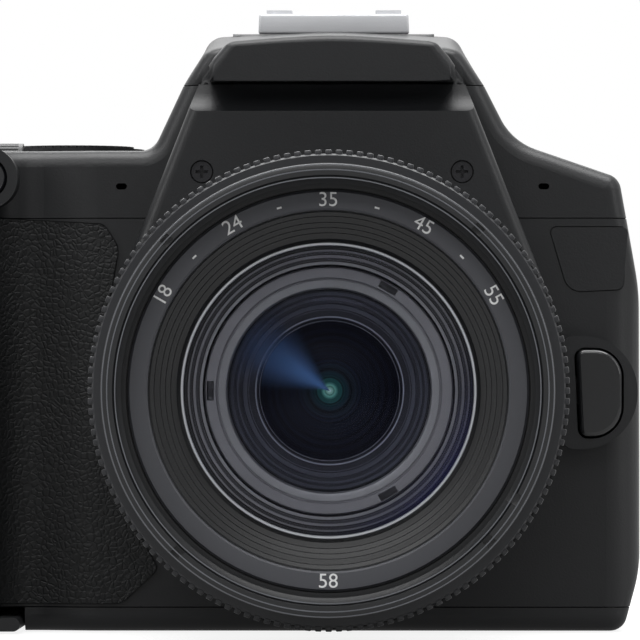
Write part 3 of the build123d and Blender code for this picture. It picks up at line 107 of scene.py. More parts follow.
# the slope starts this far in front of the origin, takes this run, and spares this foot (mm)
HEAD_SLOPE_START = 6
HEAD_SLOPE_RUN = 16
HEAD_FOOT = 2.5
# what is cut away for a finger notch: its size and its middle, which is mirrored for the other side
NOTCH_SIZE = (3.6, 14.0, 3.2)
NOTCH_PLACE = (19.5, -33.0, 81.2)

# the bed in front of the accessory shoe (mm), pale grey as a painted highlight, and the share by which its
# ends draw in at the top
BED_OVERHANG = 2.4
BED_DEPTH = 2.5
BED_HEIGHT = 3.0
BED_DRAW = 0.012

# how much of the white background shows in gloss
GLOSS_SHARE = 0.3
FLOOR_GREY = 0.22
FLOOR_GLOW = 0.86
# the light of the world on the object, from the front and from behind
WORLD_FRONT = 0.15
WORLD_BEHIND = 1.0


# ---------------------------------------------------------------- materials
def linear(hex_colour):
    """An sRGB hex colour as the linear values that shaders take."""
    parts = [int(hex_colour[i:i + 2], 16) / 255 for i in (1, 3, 5)]
    return [c / 12.92 if c <= 0.04045 else ((c + 0.055) / 1.055) ** 2.4 for c in parts] + [1.0]


def add_node(tree, kind, inputs=(), **settings):
    """Adds a node, sets its properties, and sets or links its inputs by name."""
    new = tree.nodes.new(kind)
    for name, value in settings.items():
        setattr(new, name, value)
    for name, value in dict(inputs).items():
        if isinstance(value, bpy.types.NodeSocket):
            tree.links.new(value, new.inputs[name])
        else:
            new.inputs[name].default_value = value
    return new


def new_material(name):
    """An empty node material, and the tree to build it in."""
    material = bpy.data.materials.new(name)
    material.use_nodes = True
    material.node_tree.nodes.clear()
    return material, material.node_tree


def finish_material(tree, shader):
    """Joins a shader to the material's output."""
    add_node(tree, "ShaderNodeOutputMaterial", {"Surface": shader.outputs[0]})


def surface(name, colour, roughness, metallic=0.0, grain_mm=0.3, depth_mm=0.02, shift=0.1,
            polish=0.05, coat=0.0, specular=0.5, cells=False):
    """A surface with a grain of a real size, slow patches of colour, and polish that follows them.

    Shift is how far the colour goes lighter and darker, and polish how far the roughness does.
    """
    material, tree = new_material(name)
    place = add_node(tree, "ShaderNodeTexCoord").outputs["Object"]
    if cells:
        # irregular cells between creases; the warp bends their straight sides by half a cell
        warp = add_node(tree, "ShaderNodeTexNoise", {
            "Vector": place, "Scale": 0.5 / (grain_mm * MM), "Detail": 2.0})
        moved = add_node(tree, "ShaderNodeVectorMath", {
            0: warp.outputs["Color"], 1: (0.5 * grain_mm * MM,) * 3}, operation="MULTIPLY")
        joined = add_node(tree, "ShaderNodeVectorMath", {0: place, 1: moved.outputs[0]})
        creases = add_node(tree, "ShaderNodeTexVoronoi", {
            "Vector": joined.outputs[0], "Scale": 1 / (grain_mm * MM)}, feature="DISTANCE_TO_EDGE")
        height = add_node(tree, "ShaderNodeMapRange", {
            "Value": creases.outputs["Distance"], "From Max": 0.22}).outputs["Result"]
    else:
        height = add_node(tree, "ShaderNodeTexNoise", {
            "Vector": place, "Scale": 1 / (grain_mm * MM), "Detail": 2.0,
            "Roughness": 0.55}).outputs["Fac"]
    # patches 14 mm across, as wide as a fingertip's wear
    patches = add_node(tree, "ShaderNodeTexNoise", {
        "Vector": place, "Scale": 1 / (14 * MM), "Detail": 3.0}).outputs["Fac"]
    shade = linear(colour)
    darker = [c * (1 - shift) for c in shade[:3]] + [1]
    lighter = [min(1, c * (1 + shift)) for c in shade[:3]] + [1]
    tint = add_node(tree, "ShaderNodeMix", {0: patches, 6: darker, 7: lighter}, data_type="RGBA")
    rough = add_node(tree, "ShaderNodeMapRange", {
        "Value": patches, "To Min": roughness - polish, "To Max": roughness + polish})
    bump = add_node(tree, "ShaderNodeBump", {
        "Height": height, "Strength": 0.6, "Distance": depth_mm * MM})
    # plastics, rubber, paint and glass are near this IOR, and a metal keeps it as the default
    shader = add_node(tree, "ShaderNodeBsdfPrincipled", {
        "Base Color": tint.outputs[2], "Roughness": rough.outputs["Result"], "IOR": 1.5,
        "Metallic": metallic, "Coat Weight": coat, "Specular IOR Level": specular,
        "Normal": bump.outputs["Normal"]})
    finish_material(tree, shader)
    return material


def about_lens(tree):
    """Object coordinates measured from the lens axis: sockets of x, z, and distance from the axis."""
    place = add_node(tree, "ShaderNodeTexCoord")
    centred = add_node(tree, "ShaderNodeMapping", {
        "Vector": place.outputs["Object"], "Location": (0, 0, -LENS_AXIS_Z * MM)})
    parts = add_node(tree, "ShaderNodeSeparateXYZ", {0: centred.outputs[0]})
    flat = add_node(tree, "ShaderNodeCombineXYZ", {"X": parts.outputs["X"], "Y": parts.outputs["Z"]})
    reach = add_node(tree, "ShaderNodeVectorMath", {0: flat.outputs[0]}, operation="LENGTH")
    return parts.outputs["X"], parts.outputs["Z"], reach.outputs["Value"]


def painted_reflection_wedge(tree, across, up, reach, strongest, direction=147, half_angle=34,
                  fade=(4, 14, 1.0, 0.3)):
    """How much painted reflection shows: a soft sector about the axis where a lamp is reflected, angles in
    degrees.

    The fade goes from one distance to another (mm), from one share to another.
    """
    angle = add_node(tree, "ShaderNodeMath", {0: up, 1: across}, operation="ARCTAN2")
    away = add_node(tree, "ShaderNodeMath", {0: angle.outputs[0], 1: math.radians(direction)},
                    operation="SUBTRACT")
    near = add_node(tree, "ShaderNodeMath", {0: away.outputs[0]}, operation="ABSOLUTE")
    sector = add_node(tree, "ShaderNodeMapRange", {
        "Value": near.outputs[0], "From Max": math.radians(half_angle), "To Min": strongest, "To Max": 0.0},
        interpolation_type="SMOOTHSTEP")
    fading = add_node(tree, "ShaderNodeMapRange", {
        "Value": reach, "From Min": fade[0] * MM, "From Max": fade[1] * MM, "To Min": fade[2],
        "To Max": fade[3]})
    share = add_node(tree, "ShaderNodeMath", {0: sector.outputs["Result"], 1: fading.outputs["Result"]},
                     operation="MULTIPLY")
    return share.outputs[0]


def coated_glass(name, colour, veil, reflection_colour, wedge, tint="#fbfbfd"):
    """Optical glass under a vapour-deposited coating: nearly clear, with a faint coloured reflection
    painted into one sector.

    The veil is the share of the coating's shine that shows all over, besides the painted reflection in its
    sector.
    """
    material, tree = new_material(name)
    across, up, reach = about_lens(tree)
    place = add_node(tree, "ShaderNodeTexCoord")
    smear = add_node(tree, "ShaderNodeTexNoise", {
        "Vector": place.outputs["Object"], "Scale": 1 / (18 * MM), "Detail": 1.0})
    rough = add_node(tree, "ShaderNodeMapRange", {
        "Value": smear.outputs["Fac"], "To Min": 0.02, "To Max": 0.035})
    # the sector's colour is a painted reflection, not the glass's own colour
    sector = painted_reflection_wedge(tree, across, up, reach, *wedge)
    reflection_tint = add_node(tree, "ShaderNodeMix", {0: sector, 6: linear(colour), 7: linear(reflection_colour)},
                    data_type="RGBA")
    cover = add_node(tree, "ShaderNodeMath", {0: sector, 1: veil}, operation="ADD")
    clear = add_node(tree, "ShaderNodeBsdfTransparent", {"Color": linear(tint)})
    shine = add_node(tree, "ShaderNodeBsdfPrincipled", {
        "Base Color": reflection_tint.outputs[2], "Roughness": rough.outputs["Result"], "IOR": 1.6,
        "Specular Tint": linear("#c2c8ff"), "Coat Weight": 0.4, "Coat Roughness": 0.02})
    mix = add_node(tree, "ShaderNodeMixShader", {
        0: cover.outputs[0], 1: clear.outputs[0], 2: shine.outputs[0]})
    finish_material(tree, mix)
    return material


# ---------------------------------------------------------------- modelling helpers
def clear_selection():
    """Nothing selected and object mode, as each piece starts."""
    if bpy.context.object and bpy.context.object.mode != "OBJECT":
        bpy.ops.object.mode_set(mode="OBJECT")
    bpy.ops.object.select_all(action="DESELECT")


def select_only(piece):
    """Makes one object the selected and active one."""
    clear_selection()
    piece.select_set(True)
    bpy.context.view_layer.objects.active = piece


def lens_point(distance, radius):
    """A point beside the lens axis, this far in front of the flange, in metres."""
    return Vector((radius, FLANGE_Y - distance, LENS_AXIS_Z)) * MM


def settle(piece, material, smooth_angle=30):
    """Merges doubles, turns the faces out, applies the place and gives the piece its material."""
    select_only(piece)
    bpy.ops.object.transform_apply(location=True, rotation=True, scale=True)
    bpy.ops.object.mode_set(mode="EDIT")
    bpy.ops.mesh.select_all(action="SELECT")
    bpy.ops.mesh.remove_doubles(threshold=DOUBLES_MM * MM)
    bpy.ops.mesh.normals_make_consistent(inside=False)
    bpy.ops.object.mode_set(mode="OBJECT")
    bpy.ops.object.shade_smooth_by_angle(angle=math.radians(smooth_angle))
    piece.data.materials.clear()
    piece.data.materials.append(material)


def lathe(name, profile, steps):
    """A closed profile of (distance, radius) points, drawn point by point and spun about the lens axis."""
    clear_selection()
    start = lens_point(*profile[0])
    bpy.ops.mesh.primitive_plane_add(size=MM, location=start)
    piece = bpy.context.object
    piece.name = name
    bpy.ops.object.mode_set(mode="EDIT")
    bpy.ops.mesh.select_all(action="SELECT")
    bpy.ops.mesh.merge(type="CENTER")
    last = start
    for distance, radius in list(profile[1:]) + [profile[0]]:
        point = lens_point(distance, radius)
        bpy.ops.mesh.extrude_region_move(TRANSFORM_OT_translate={"value": point - last})
        last = point
    bpy.ops.mesh.select_all(action="SELECT")
    bpy.ops.mesh.spin(steps=steps, angle=2 * math.pi, center=lens_point(0, 0), axis=(0, 1, 0))
    bpy.ops.mesh.select_all(action="SELECT")
    bpy.ops.mesh.remove_doubles(threshold=DOUBLES_MM * MM)
    bpy.ops.mesh.normals_make_consistent(inside=False)
    bpy.ops.object.mode_set(mode="OBJECT")
    return piece


def flat_ring(name, distance, inner, outer, finish, steps, depth=0.15):
    """A thin flat ring square to the lens axis, its front edges broken by 0.02 mm."""
    ring = lathe(name, [(distance, inner), (distance, outer), (distance + depth, outer - 0.02),
                        (distance + depth, inner + 0.02)], steps)
    settle(ring, FINISHES[finish])
    place_piece(ring, "inner_barrel", "ring_metal")


def arc_points(apex, edge, radius, count, outward):
    """Points of a spherical surface from its edge to its middle, or back."""
    sag = apex - edge
    sphere = (radius ** 2 + sag ** 2) / (2 * abs(sag))
    side = math.copysign(1, sag)
    points = []
    for index in range(count + 1):
        r = radius * (1 - index / count)
        points.append((apex - side * (sphere - math.sqrt(sphere ** 2 - r ** 2)), r))
    return points[::-1] if outward else points


def bevelled_box(name, size_mm, place_mm, bevel_mm, segments=2):
    """A box with rounded edges, at its size and place."""
    clear_selection()
    bpy.ops.mesh.primitive_cube_add(size=1, location=Vector(place_mm) * MM, scale=Vector(size_mm) * MM)
    piece = bpy.context.object
    piece.name = name
    bpy.ops.object.transform_apply(location=True, scale=True)
    bpy.ops.object.mode_set(mode="EDIT")
    bpy.ops.mesh.select_all(action="SELECT")
    bpy.ops.mesh.bevel(offset=bevel_mm * MM, segments=segments, affect="EDGES")
    bpy.ops.object.mode_set(mode="OBJECT")
    return piece


def turn_about_lens(mesh, angle):
    """Turns a mesh about the lens axis."""
    centre = lens_point(0, 0)
    turn = Matrix.Translation(centre) @ Matrix.Rotation(-angle, 4, "Y") @ Matrix.Translation(-centre)
    mesh.transform(turn)


def ring_of(piece, count, start_degrees=0.0):
    """Copies of a piece round the lens axis, each with its own mesh, joined into one."""
    pieces = [piece]
    for index in range(1, count):
        copy = piece.copy()
        copy.data = piece.data.copy()
        bpy.context.scene.collection.objects.link(copy)
        turn_about_lens(copy.data, 2 * math.pi * index / count)
        pieces.append(copy)
    for each in pieces:
        turn_about_lens(each.data, math.radians(start_degrees))
    return join(pieces)


def join(pieces):
    """Joins pieces into the first one."""
    clear_selection()
    for piece in pieces:
        piece.select_set(True)
    bpy.context.view_layer.objects.active = pieces[0]
    bpy.ops.object.join()
    return pieces[0]


def cut(piece, cutter):
    """Takes one piece's volume out of another, and removes the cutter."""
    select_only(piece)
    modifier = piece.modifiers.new("cut", "BOOLEAN")
    modifier.operation = "DIFFERENCE"
    modifier.solver = "EXACT"
    modifier.object = cutter
    bpy.ops.object.modifier_apply(modifier=modifier.name)
    bpy.data.objects.remove(cutter)


def raised_text(text, size_mm, rise_mm):
    """Centred generic characters as a mesh at the origin, lying flat, raised to each side."""
    clear_selection()
    bpy.ops.object.text_add(location=(0, 0, 0))
    piece = bpy.context.object
    piece.data.body = text
    piece.data.size = size_mm * MM
    piece.data.extrude = rise_mm * MM
    piece.data.align_x = piece.data.align_y = "CENTER"
    bpy.ops.object.convert(target="MESH")
    piece.data.materials.clear()
    return piece


def printed(text, angle_degrees, distance, upside=False):
    """One generic mark printed on a face square to the lens axis, its foot towards the axis."""
    piece = raised_text(text, NUMERAL_SIZE, 0.01)
    angle = math.radians(angle_degrees)
    lean = angle - math.pi / 2 + (math.pi if upside else 0)
    stand = Matrix.Rotation(math.radians(90), 4, "X")
    place = Vector((NUMERAL_RADIUS * math.cos(angle), FLANGE_Y - distance,
                    LENS_AXIS_Z + NUMERAL_RADIUS * math.sin(angle))) * MM
    piece.data.transform(Matrix.Translation(place) @ Matrix.Rotation(-lean, 4, "Y") @ stand)
    piece.data.materials.append(FINISHES["ink"])
    return piece


def place_piece(piece, body, slot, *nodes):
    """The piece rides on its body, and stands for CAD nodes if named: those are hidden. Its slot is not
    used.
    """
    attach(piece, body)
    if nodes:
        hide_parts(*nodes)


# ---------------------------------------------------------------- what a user may change
class REFLEX_PG_lens(bpy.types.PropertyGroup):
    teeth: IntProperty(name="Focus ring teeth", description="Teeth round the focus ring",
                       default=144, min=24, max=240)
    steps: IntProperty(name="Steps", description="Steps of a full turn of each lathed ring",
                       default=192, min=64, max=384)
    thread_pitch: FloatProperty(name="Thread pitch", description="Pitch of the filter thread",
                                default=0.75 * MM, min=0.4 * MM, max=1.5 * MM, subtype="DISTANCE",
                                unit="LENGTH")
    ring_colour: StringProperty(name="Front ring", description="Colour of the satin front ring",
                                default="#4a4b50")
    mark_colour: StringProperty(name="Marks", description="Colour of the printed numerals",
                                default="#f2f2f2")


class REFLEX_PG_body(bpy.types.PropertyGroup):
    cover_colour: StringProperty(name="Covers", description="Colour of the moulded covers",
                                 default="#17181a")
    rubber_colour: StringProperty(name="Grip", description="Colour of the grip's rubber",
                                  default="#101112")
    leather_grain: FloatProperty(name="Leather grain", description="Width of one cell of the grain",
                                 default=0.85 * MM, min=0.3 * MM, max=4 * MM, subtype="DISTANCE",
                                 unit="LENGTH")


class REFLEX_PG_stage(bpy.types.PropertyGroup):
    key_power: FloatProperty(name="Overhead", description="Power of the lamp over the camera",
                             default=16.0, min=0.0, unit="POWER")
    fill_power: FloatProperty(name="Front", description="Power of the lamp high in front of the camera",
                              default=4.0, min=0.0, unit="POWER")
    rim_power: FloatProperty(name="Behind", description="Power of the lamp that grazes the top from behind",
                             default=3.5, min=0.0, unit="POWER")
    side_power: FloatProperty(name="Sides", description="Power of each lamp beside the camera",
                              default=5.0, min=0.0, unit="POWER")


# ---------------------------------------------------------------- finishes
def make_finishes(body, lens):
    """Every material, by a maker's plain name."""
    made = {}
    # polycarbonate out of a spark-eroded mould: satin black, a fine even pebble
    made["cover"] = surface("moulded_polycarbonate", body.cover_colour, 0.42, grain_mm=0.32,
                            depth_mm=0.035, specular=0.42)
    # the same moulding, inside: flat black, no polish
    made["inner"] = surface("flat_black_moulding", "#0c0c0d", 0.8, grain_mm=0.5, depth_mm=0.03,
                            specular=0.2)
    # textured rubber skin pressed with a leather grain: irregular cells between fine creases
    made["leather"] = surface("leather_grain_rubber", body.rubber_colour, 0.62,
                              grain_mm=body.leather_grain / MM, depth_mm=0.14, cells=True,
                              specular=0.35)
    # smooth moulded rubber: dull, with slow patches of grey where it has been handled
    made["rubber"] = surface("smooth_rubber", "#151516", 0.7, grain_mm=0.6, depth_mm=0.03, specular=0.3)
    # lens barrel plastic, sprayed satin black: smoother than the covers, with a soft even sheen
    made["barrel"] = surface("painted_barrel_plastic", "#1b1c1e", 0.38, grain_mm=0.25, depth_mm=0.012)
    # a fine light grey line on a turned edge, half metallic
    made["grey_edge"] = surface("grey_edge_finish", "#6d6f74", 0.35, metallic=0.4, grain_mm=0.3,
                                depth_mm=0.006, shift=0.25)
    # moulded teeth of the focus ring: satin, in slow patches of lighter and darker grey
    made["teeth"] = surface("satin_moulded_teeth", "#2b2c2f", 0.36, grain_mm=0.3, depth_mm=0.012)
    # black felt behind each microphone slot: short dense fibres that give no highlight
    made["felt"] = surface("black_felt", "#08080a", 0.95, grain_mm=0.12, depth_mm=0.08, specular=0.1)
    # sprayed satin paint of the front ring: flat dark grey, with no grain to see
    made["front_ring"] = surface("satin_grey_paint", lens.ring_colour, 0.5, grain_mm=0.2, depth_mm=0.008)
    # light-grey speckled anodising of the retaining ring: grains just wide enough to show
    made["speckled"] = surface("speckled_anodised_ring", "#8d8f92", 0.45, metallic=0.4, grain_mm=0.3,
                               depth_mm=0.09, shift=0.3)
    # a bright line painted on a turned edge: a painted highlight where the edge would catch a lamp
    made["highlight_edge"] = surface("painted_highlight_edge", "#c9ccd2", 0.3, metallic=0.6, grain_mm=0.3,
                                  depth_mm=0.006)
    # chrome-plated brass: bright and nearly mirror-like, with a faint haze
    made["chrome"] = surface("chrome_plated_brass", "#c4c5c9", 0.18, metallic=1.0, grain_mm=0.4,
                             depth_mm=0.004, shift=0.04, polish=0.04)
    # pressed steel under black paint: dark, with a dull metal sheen
    made["dark_metal"] = surface("black_painted_steel", "#232326", 0.4, metallic=0.3, grain_mm=0.3,
                                 depth_mm=0.012)
    # painted steel bed and rails of the accessory shoe: pale grey, half matt; the rails are this grey, on
    # the bed the pale grey is a painted highlight
    made["shoe"] = surface("pale_shoe_and_painted_highlight", "#c9cacd", 0.42, metallic=0.2, grain_mm=0.3,
                           depth_mm=0.012)
    # pad-printed ink: matt white, a little uneven
    made["ink"] = surface("white_printing_ink", lens.mark_colour, 0.6, grain_mm=0.3, depth_mm=0.003,
                          shift=0.05)
    # solder mask over woven glass board: deep green, glossy, faintly uneven
    made["board"] = surface("solder_mask_board", "#12472c", 0.35, grain_mm=0.9, depth_mm=0.05, coat=0.3)
    # moulded battery shell: plain dark grey, duller than the covers
    made["battery"] = surface("battery_shell", "#2a2b2e", 0.5, grain_mm=0.4, depth_mm=0.02)
    # silvered glass of mirror and prism: a clear bright reflection, hardly any grain
    made["silvered"] = surface("silvered_glass", "#e3e5ea", 0.04, metallic=1.0, grain_mm=3, depth_mm=0.001,
                               shift=0.02, polish=0.02)
    # moulded acrylic window: pale grey, glossy, with a ripple that breaks the light up
    made["diffuser"] = surface("clear_diffuser", "#b9bcc2", 0.15, grain_mm=1.2, depth_mm=0.06, coat=0.5)
    # smoked acrylic lens of the front lamp: near black, polished, with one sharp highlight
    made["lamp"] = surface("dark_lamp_lens", "#191a1e", 0.12, grain_mm=0.8, depth_mm=0.01, coat=0.8)
    # float glass over a dark screen: black and flat, with a mirror-like sheen
    made["panel"] = surface("hardened_screen_glass", "#0a0b0e", 0.08, grain_mm=4, depth_mm=0.002, coat=1.0,
                            polish=0.02)
    # buttons out of a polished mould: black, shinier than the covers round them
    made["gloss"] = surface("gloss_black_moulding", "#111214", 0.22, grain_mm=0.6, depth_mm=0.01, coat=0.3)
    # ground optical glass with a coating: clear, with a violet reflection painted along the edge on one
    # side
    made["front_glass"] = coated_glass("coated_front_glass", "#05060a", 0.04, reflection_colour="#3c3f9c",
                                       wedge=(0.3, -38, 75, (16.5, 19.5, 0.0, 1.0)))
    # the same glass further in: clear, with a blue reflection painted in a soft sector
    made["inner_glass"] = coated_glass("coated_inner_glass", "#05070c", 0.06, tint="#f6f7fb",
                                       reflection_colour="#5c9be8", wedge=(0.55,))
    # satin turned aluminium inside the cell, greyed by the glass over it
    made["cell"] = surface("satin_turned_aluminium", "#85868a", 0.42, metallic=0.3, grain_mm=0.25,
                           depth_mm=0.02, shift=0.15)
    # turned and blackened aluminium between the elements: dark satin rings
    made["stack"] = surface("dark_satin_stack", "#2e3034", 0.35, grain_mm=0.4, depth_mm=0.01, shift=0.2)
    # many coated elements one behind another: one surface stands for their tinted reflections
    made["depth"] = painted_reflection_gradient()
    return made


def painted_reflection_gradient():
    """Painted reflections standing for the coated elements deep in the lens: a teal highlight at the
    middle, a blue reflection to one side, near black at the rim.
    """
    material, tree = new_material("deep_elements_painted_reflections")
    across, up, reach = about_lens(tree)
    # the ramp paints a pale teal highlight at the middle that fades to near black at the rim
    share = add_node(tree, "ShaderNodeMapRange", {"Value": reach, "From Max": 14 * MM})
    ramp = add_node(tree, "ShaderNodeValToRGB", {"Fac": share.outputs["Result"]})
    stops = [(0.0, "#e4fff2"), (0.035, "#8fd8bd"), (0.09, "#3c8f84"), (0.16, "#12343a"),
             (0.22, "#1a2a30"), (0.3, "#0b1522"), (0.6, "#080c16"), (1.0, "#040507")]
    elements = ramp.color_ramp.elements
    while len(elements) < len(stops):
        elements.new(0.5)
    for element, (position, colour) in zip(elements, stops):
        element.position = position
        element.color = linear(colour)
    # painted rings, lighter and darker, where the edges of deeper elements show through one another
    rings = add_node(tree, "ShaderNodeTexNoise", {"W": reach, "Scale": 1 / (0.55 * MM), "Detail": 1.0},
                     noise_dimensions="1D")
    strength = add_node(tree, "ShaderNodeMapRange", {
        "Value": rings.outputs["Fac"], "From Min": 0.35, "From Max": 0.65, "To Min": 0.3, "To Max": 2.2})
    lit = add_node(tree, "ShaderNodeVectorMath", {
        0: ramp.outputs["Color"], "Scale": strength.outputs["Result"]}, operation="SCALE")
    # a painted blue reflection in a sector to one side
    wedge = painted_reflection_wedge(tree, across, up, reach, 1.0)
    blue = add_node(tree, "ShaderNodeMix", {0: wedge, 6: lit.outputs[0], 7: linear("#79b4f5")},
                    data_type="RGBA")
    shader = add_node(tree, "ShaderNodeBsdfPrincipled", {
        "Base Color": blue.outputs[2], "Roughness": 0.3, "IOR": 1.6, "Specular IOR Level": 0.08})
    finish_material(tree, shader)
    return material


# filled by the first step
FINISHES = {}
# which finish each CAD node takes
NODE_FINISH = {
    "cover": ["front_cover", "top_cover", "rear_cover", "base_plate", "flash_head", "badge_plate",
              "battery_door", "screen_arm", "screen_frame"],
    "leather": ["grip_rubber", "thumb_rest"],
    "rubber": ["eyecup", "port_cover_upper", "port_cover_lower", "zoom_ring"],
    "barrel": ["lens_barrel", "mode_dial", "power_switch", "main_dial", "diopter_dial"],
    "gloss": ["shutter_button", "iso_button", "menu_button", "info_button", "live_view_button",
              "lock_button", "exposure_button", "playback_button", "erase_button", "four_way_pad",
              "set_button", "focus_mode_switch", "stabiliser_switch", "lens_release_button"],
    "inner": ["mirror_box", "shutter_unit", "inner_cell"],
    "dark_metal": ["cover_screws", "strap_bars"],
    "shoe": ["hot_shoe"],
    "chrome": ["body_mount_ring", "lens_mount_plate", "tripod_socket", "hot_shoe_contacts"],
    "silvered": ["reflex_mirror", "pentamirror"],
    "diffuser": ["flash_window", "focusing_screen"],
    "lamp": ["front_lamp"],
    "panel": ["screen_glass", "image_sensor"],
    "board": ["main_board"],
    "battery": ["battery"],
    "inner_glass": ["eyepiece_lens", "rear_element"],
}


# ---------------------------------------------------------------- one operator per group of pieces
class REFLEX_OT_covers(bpy.types.Operator):
    """Gives each carried-over CAD node the finish of its real counterpart"""
    bl_idname = "reflex.covers"
    bl_label = "Finish the covers and controls"

    def execute(self, context):
        FINISHES.update(make_finishes(context.scene.reflex_body, context.scene.reflex_lens))
        for finish, nodes in NODE_FINISH.items():
            for node in nodes:
                mesh = frame["nodes"][node].data
                mesh.materials.clear()
                mesh.materials.append(FINISHES[finish])
        return {"FINISHED"}


class REFLEX_OT_lens_front(bpy.types.Operator):
    """Lathes the moving front barrel with its filter thread, rim breaks and stepped baffle"""
    bl_idname = "reflex.lens_front"
    bl_label = "Front barrel"

    def execute(self, context):
        lens = context.scene.reflex_lens
        low, high = size_of("name_ring")
        thread_end = FLANGE_Y - low[1]
        seat = FLANGE_Y - high[1]
        pitch = lens.thread_pitch / MM
        thread = []
        distance = LENS_LENGTH - 0.5
        while distance - pitch > thread_end:
            thread += [(distance, 28.7), (distance - pitch / 2, 28.35)]
            distance -= pitch
        profile = [
            # the sliding tube, its shoulder, and the neck under the focus ring
            (12.0, 27.7), (12.0, 28.9), (41.2, 28.9), (41.2, 31.8), (41.5, 32.05), (42.2, 32.05),
            (42.2, 30.0), (49.6, 30.0), (49.6, 30.8), (49.8, 31.0),
            # the outside of the front barrel, with two turned grooves, up to its rounded rim
            (53.4, 31.0), (53.6, 30.75), (54.0, 30.75), (54.2, 31.0), (58.8, 31.0), (59.0, 30.7),
            (59.4, 30.7), (59.6, 31.0), (61.3, 31.0), (61.7, 30.7), (61.8, 30.3), (61.8, 29.4),
            (61.55, 29.2), (61.7, 29.0),
            # the filter thread and the seat of the front ring
            *thread, (thread_end, 28.7), (thread_end, 27.7), (seat, 27.7), (seat, 24.7),
            # the baffle, stepped down to the front element, and the bore behind it
            (53.6, 24.5), (53.4, 24.0), (52.6, 23.9), (52.4, 23.2), (51.8, 23.1), (51.6, 22.5),
            (50.8, 22.4), (50.6, 21.8), (49.9, 21.7), (49.7, 20.95), (49.2, 20.5), (46.6, 20.5),
            (46.6, 17.4), (38.5, 17.4), (38.5, 27.7),
        ]
        barrel = lathe("front_barrel", profile, lens.steps)
        rim_y = FLANGE_Y - LENS_LENGTH
        # four breaks in the rim, where a hood locks, and one pocket for its index
        breaks = bevelled_box("break", (1.3, 1.4, 1.5), (30.0, rim_y, LENS_AXIS_Z), 0.1)
        cut(barrel, ring_of(breaks, 4, 47))
        index = bevelled_box("index_pocket", (2.2, 1.4, 1.6), (28.9, rim_y, LENS_AXIS_Z), 0.15)
        turn_about_lens(index.data, math.radians(-30))
        cut(barrel, index)
        settle(barrel, FINISHES["barrel"])
        place_piece(barrel, "inner_barrel", "dark_metal", "inner_barrel")
        line_width, line_depth = 0.18, 0.06
        for name, distance, radius in (("rim_line_inner", 61.73, 29.1),
                                       ("rim_line_middle", 61.78, 30.2),
                                       ("rim_line_outer", 61.58, 30.9)):
            flat_ring(name, distance, radius - line_width, radius, "grey_edge", lens.steps, line_depth)
        # the lip's bright line round the front element is a painted highlight
        lip = lathe("element_lip", [(49.9, 20.0), (49.9, 20.45), (50.25, 20.35), (50.25, 20.1)],
                    lens.steps)
        settle(lip, FINISHES["highlight_edge"])
        place_piece(lip, "inner_barrel", "ring_metal")
        return {"FINISHED"}


class REFLEX_OT_name_ring(bpy.types.Operator):
    """Lathes the flat front ring and prints plain focal-length numerals on it"""
    bl_idname = "reflex.name_ring"
    bl_label = "Front ring and numerals"

    def execute(self, context):
        lens = context.scene.reflex_lens
        low, high = size_of("name_ring")
        face, back = FLANGE_Y - low[1], FLANGE_Y - high[1]
        ring = lathe("front_ring", [
            (back + 0.1, 24.75), (face - 0.25, 24.75), (face, 25.0), (face, 27.2), (face - 0.3, 27.5),
            (back + 0.1, 27.5)], lens.steps)
        settle(ring, FINISHES["front_ring"])
        place_piece(ring, "inner_barrel", "ring_metal", "name_ring")
        marks = [printed(text, angle, face + INK_LIFT) for text, angle in FOCAL_LENGTHS]
        marks += [printed("-", angle, face + INK_LIFT) for angle in DASH_ANGLES]
        # the filter thread's diameter, at the foot of the ring
        marks.append(printed("58", 270, face + INK_LIFT, upside=True))
        numerals = join(marks)
        numerals.name = "ring_numerals"
        place_piece(numerals, "inner_barrel", "label_plastic")
        return {"FINISHED"}


class REFLEX_OT_focus_ring(bpy.types.Operator):
    """Models one rounded tooth and repeats it round the focus ring"""
    bl_idname = "reflex.focus_ring"
    bl_label = "Focus ring"

    def execute(self, context):
        lens = context.scene.reflex_lens
        low, high = size_of("focus_ring")
        near, far = FLANGE_Y - high[1], FLANGE_Y - low[1]
        outer, bore = high[0], 30.1
        root = outer - 0.55
        body = lathe("toothed_focus_ring", [
            (near, bore), (near, outer - 0.8), (near + 0.3, root), (far - 0.3, root),
            (far, outer - 0.8), (far, bore)], lens.steps)
        pitch = 2 * math.pi * outer / lens.teeth
        # each tooth takes 62 percent of its pitch, and half of its height is sunk in the ring
        tooth = bevelled_box("tooth", (1.1, far - near - 0.4, pitch * 0.62),
                             (root, (low[1] + high[1]) / 2, LENS_AXIS_Z), 0.16)
        ring = join([body, ring_of(tooth, lens.teeth)])
        settle(ring, FINISHES["teeth"])
        place_piece(ring, "focus_ring", "rubber", "focus_ring")
        return {"FINISHED"}


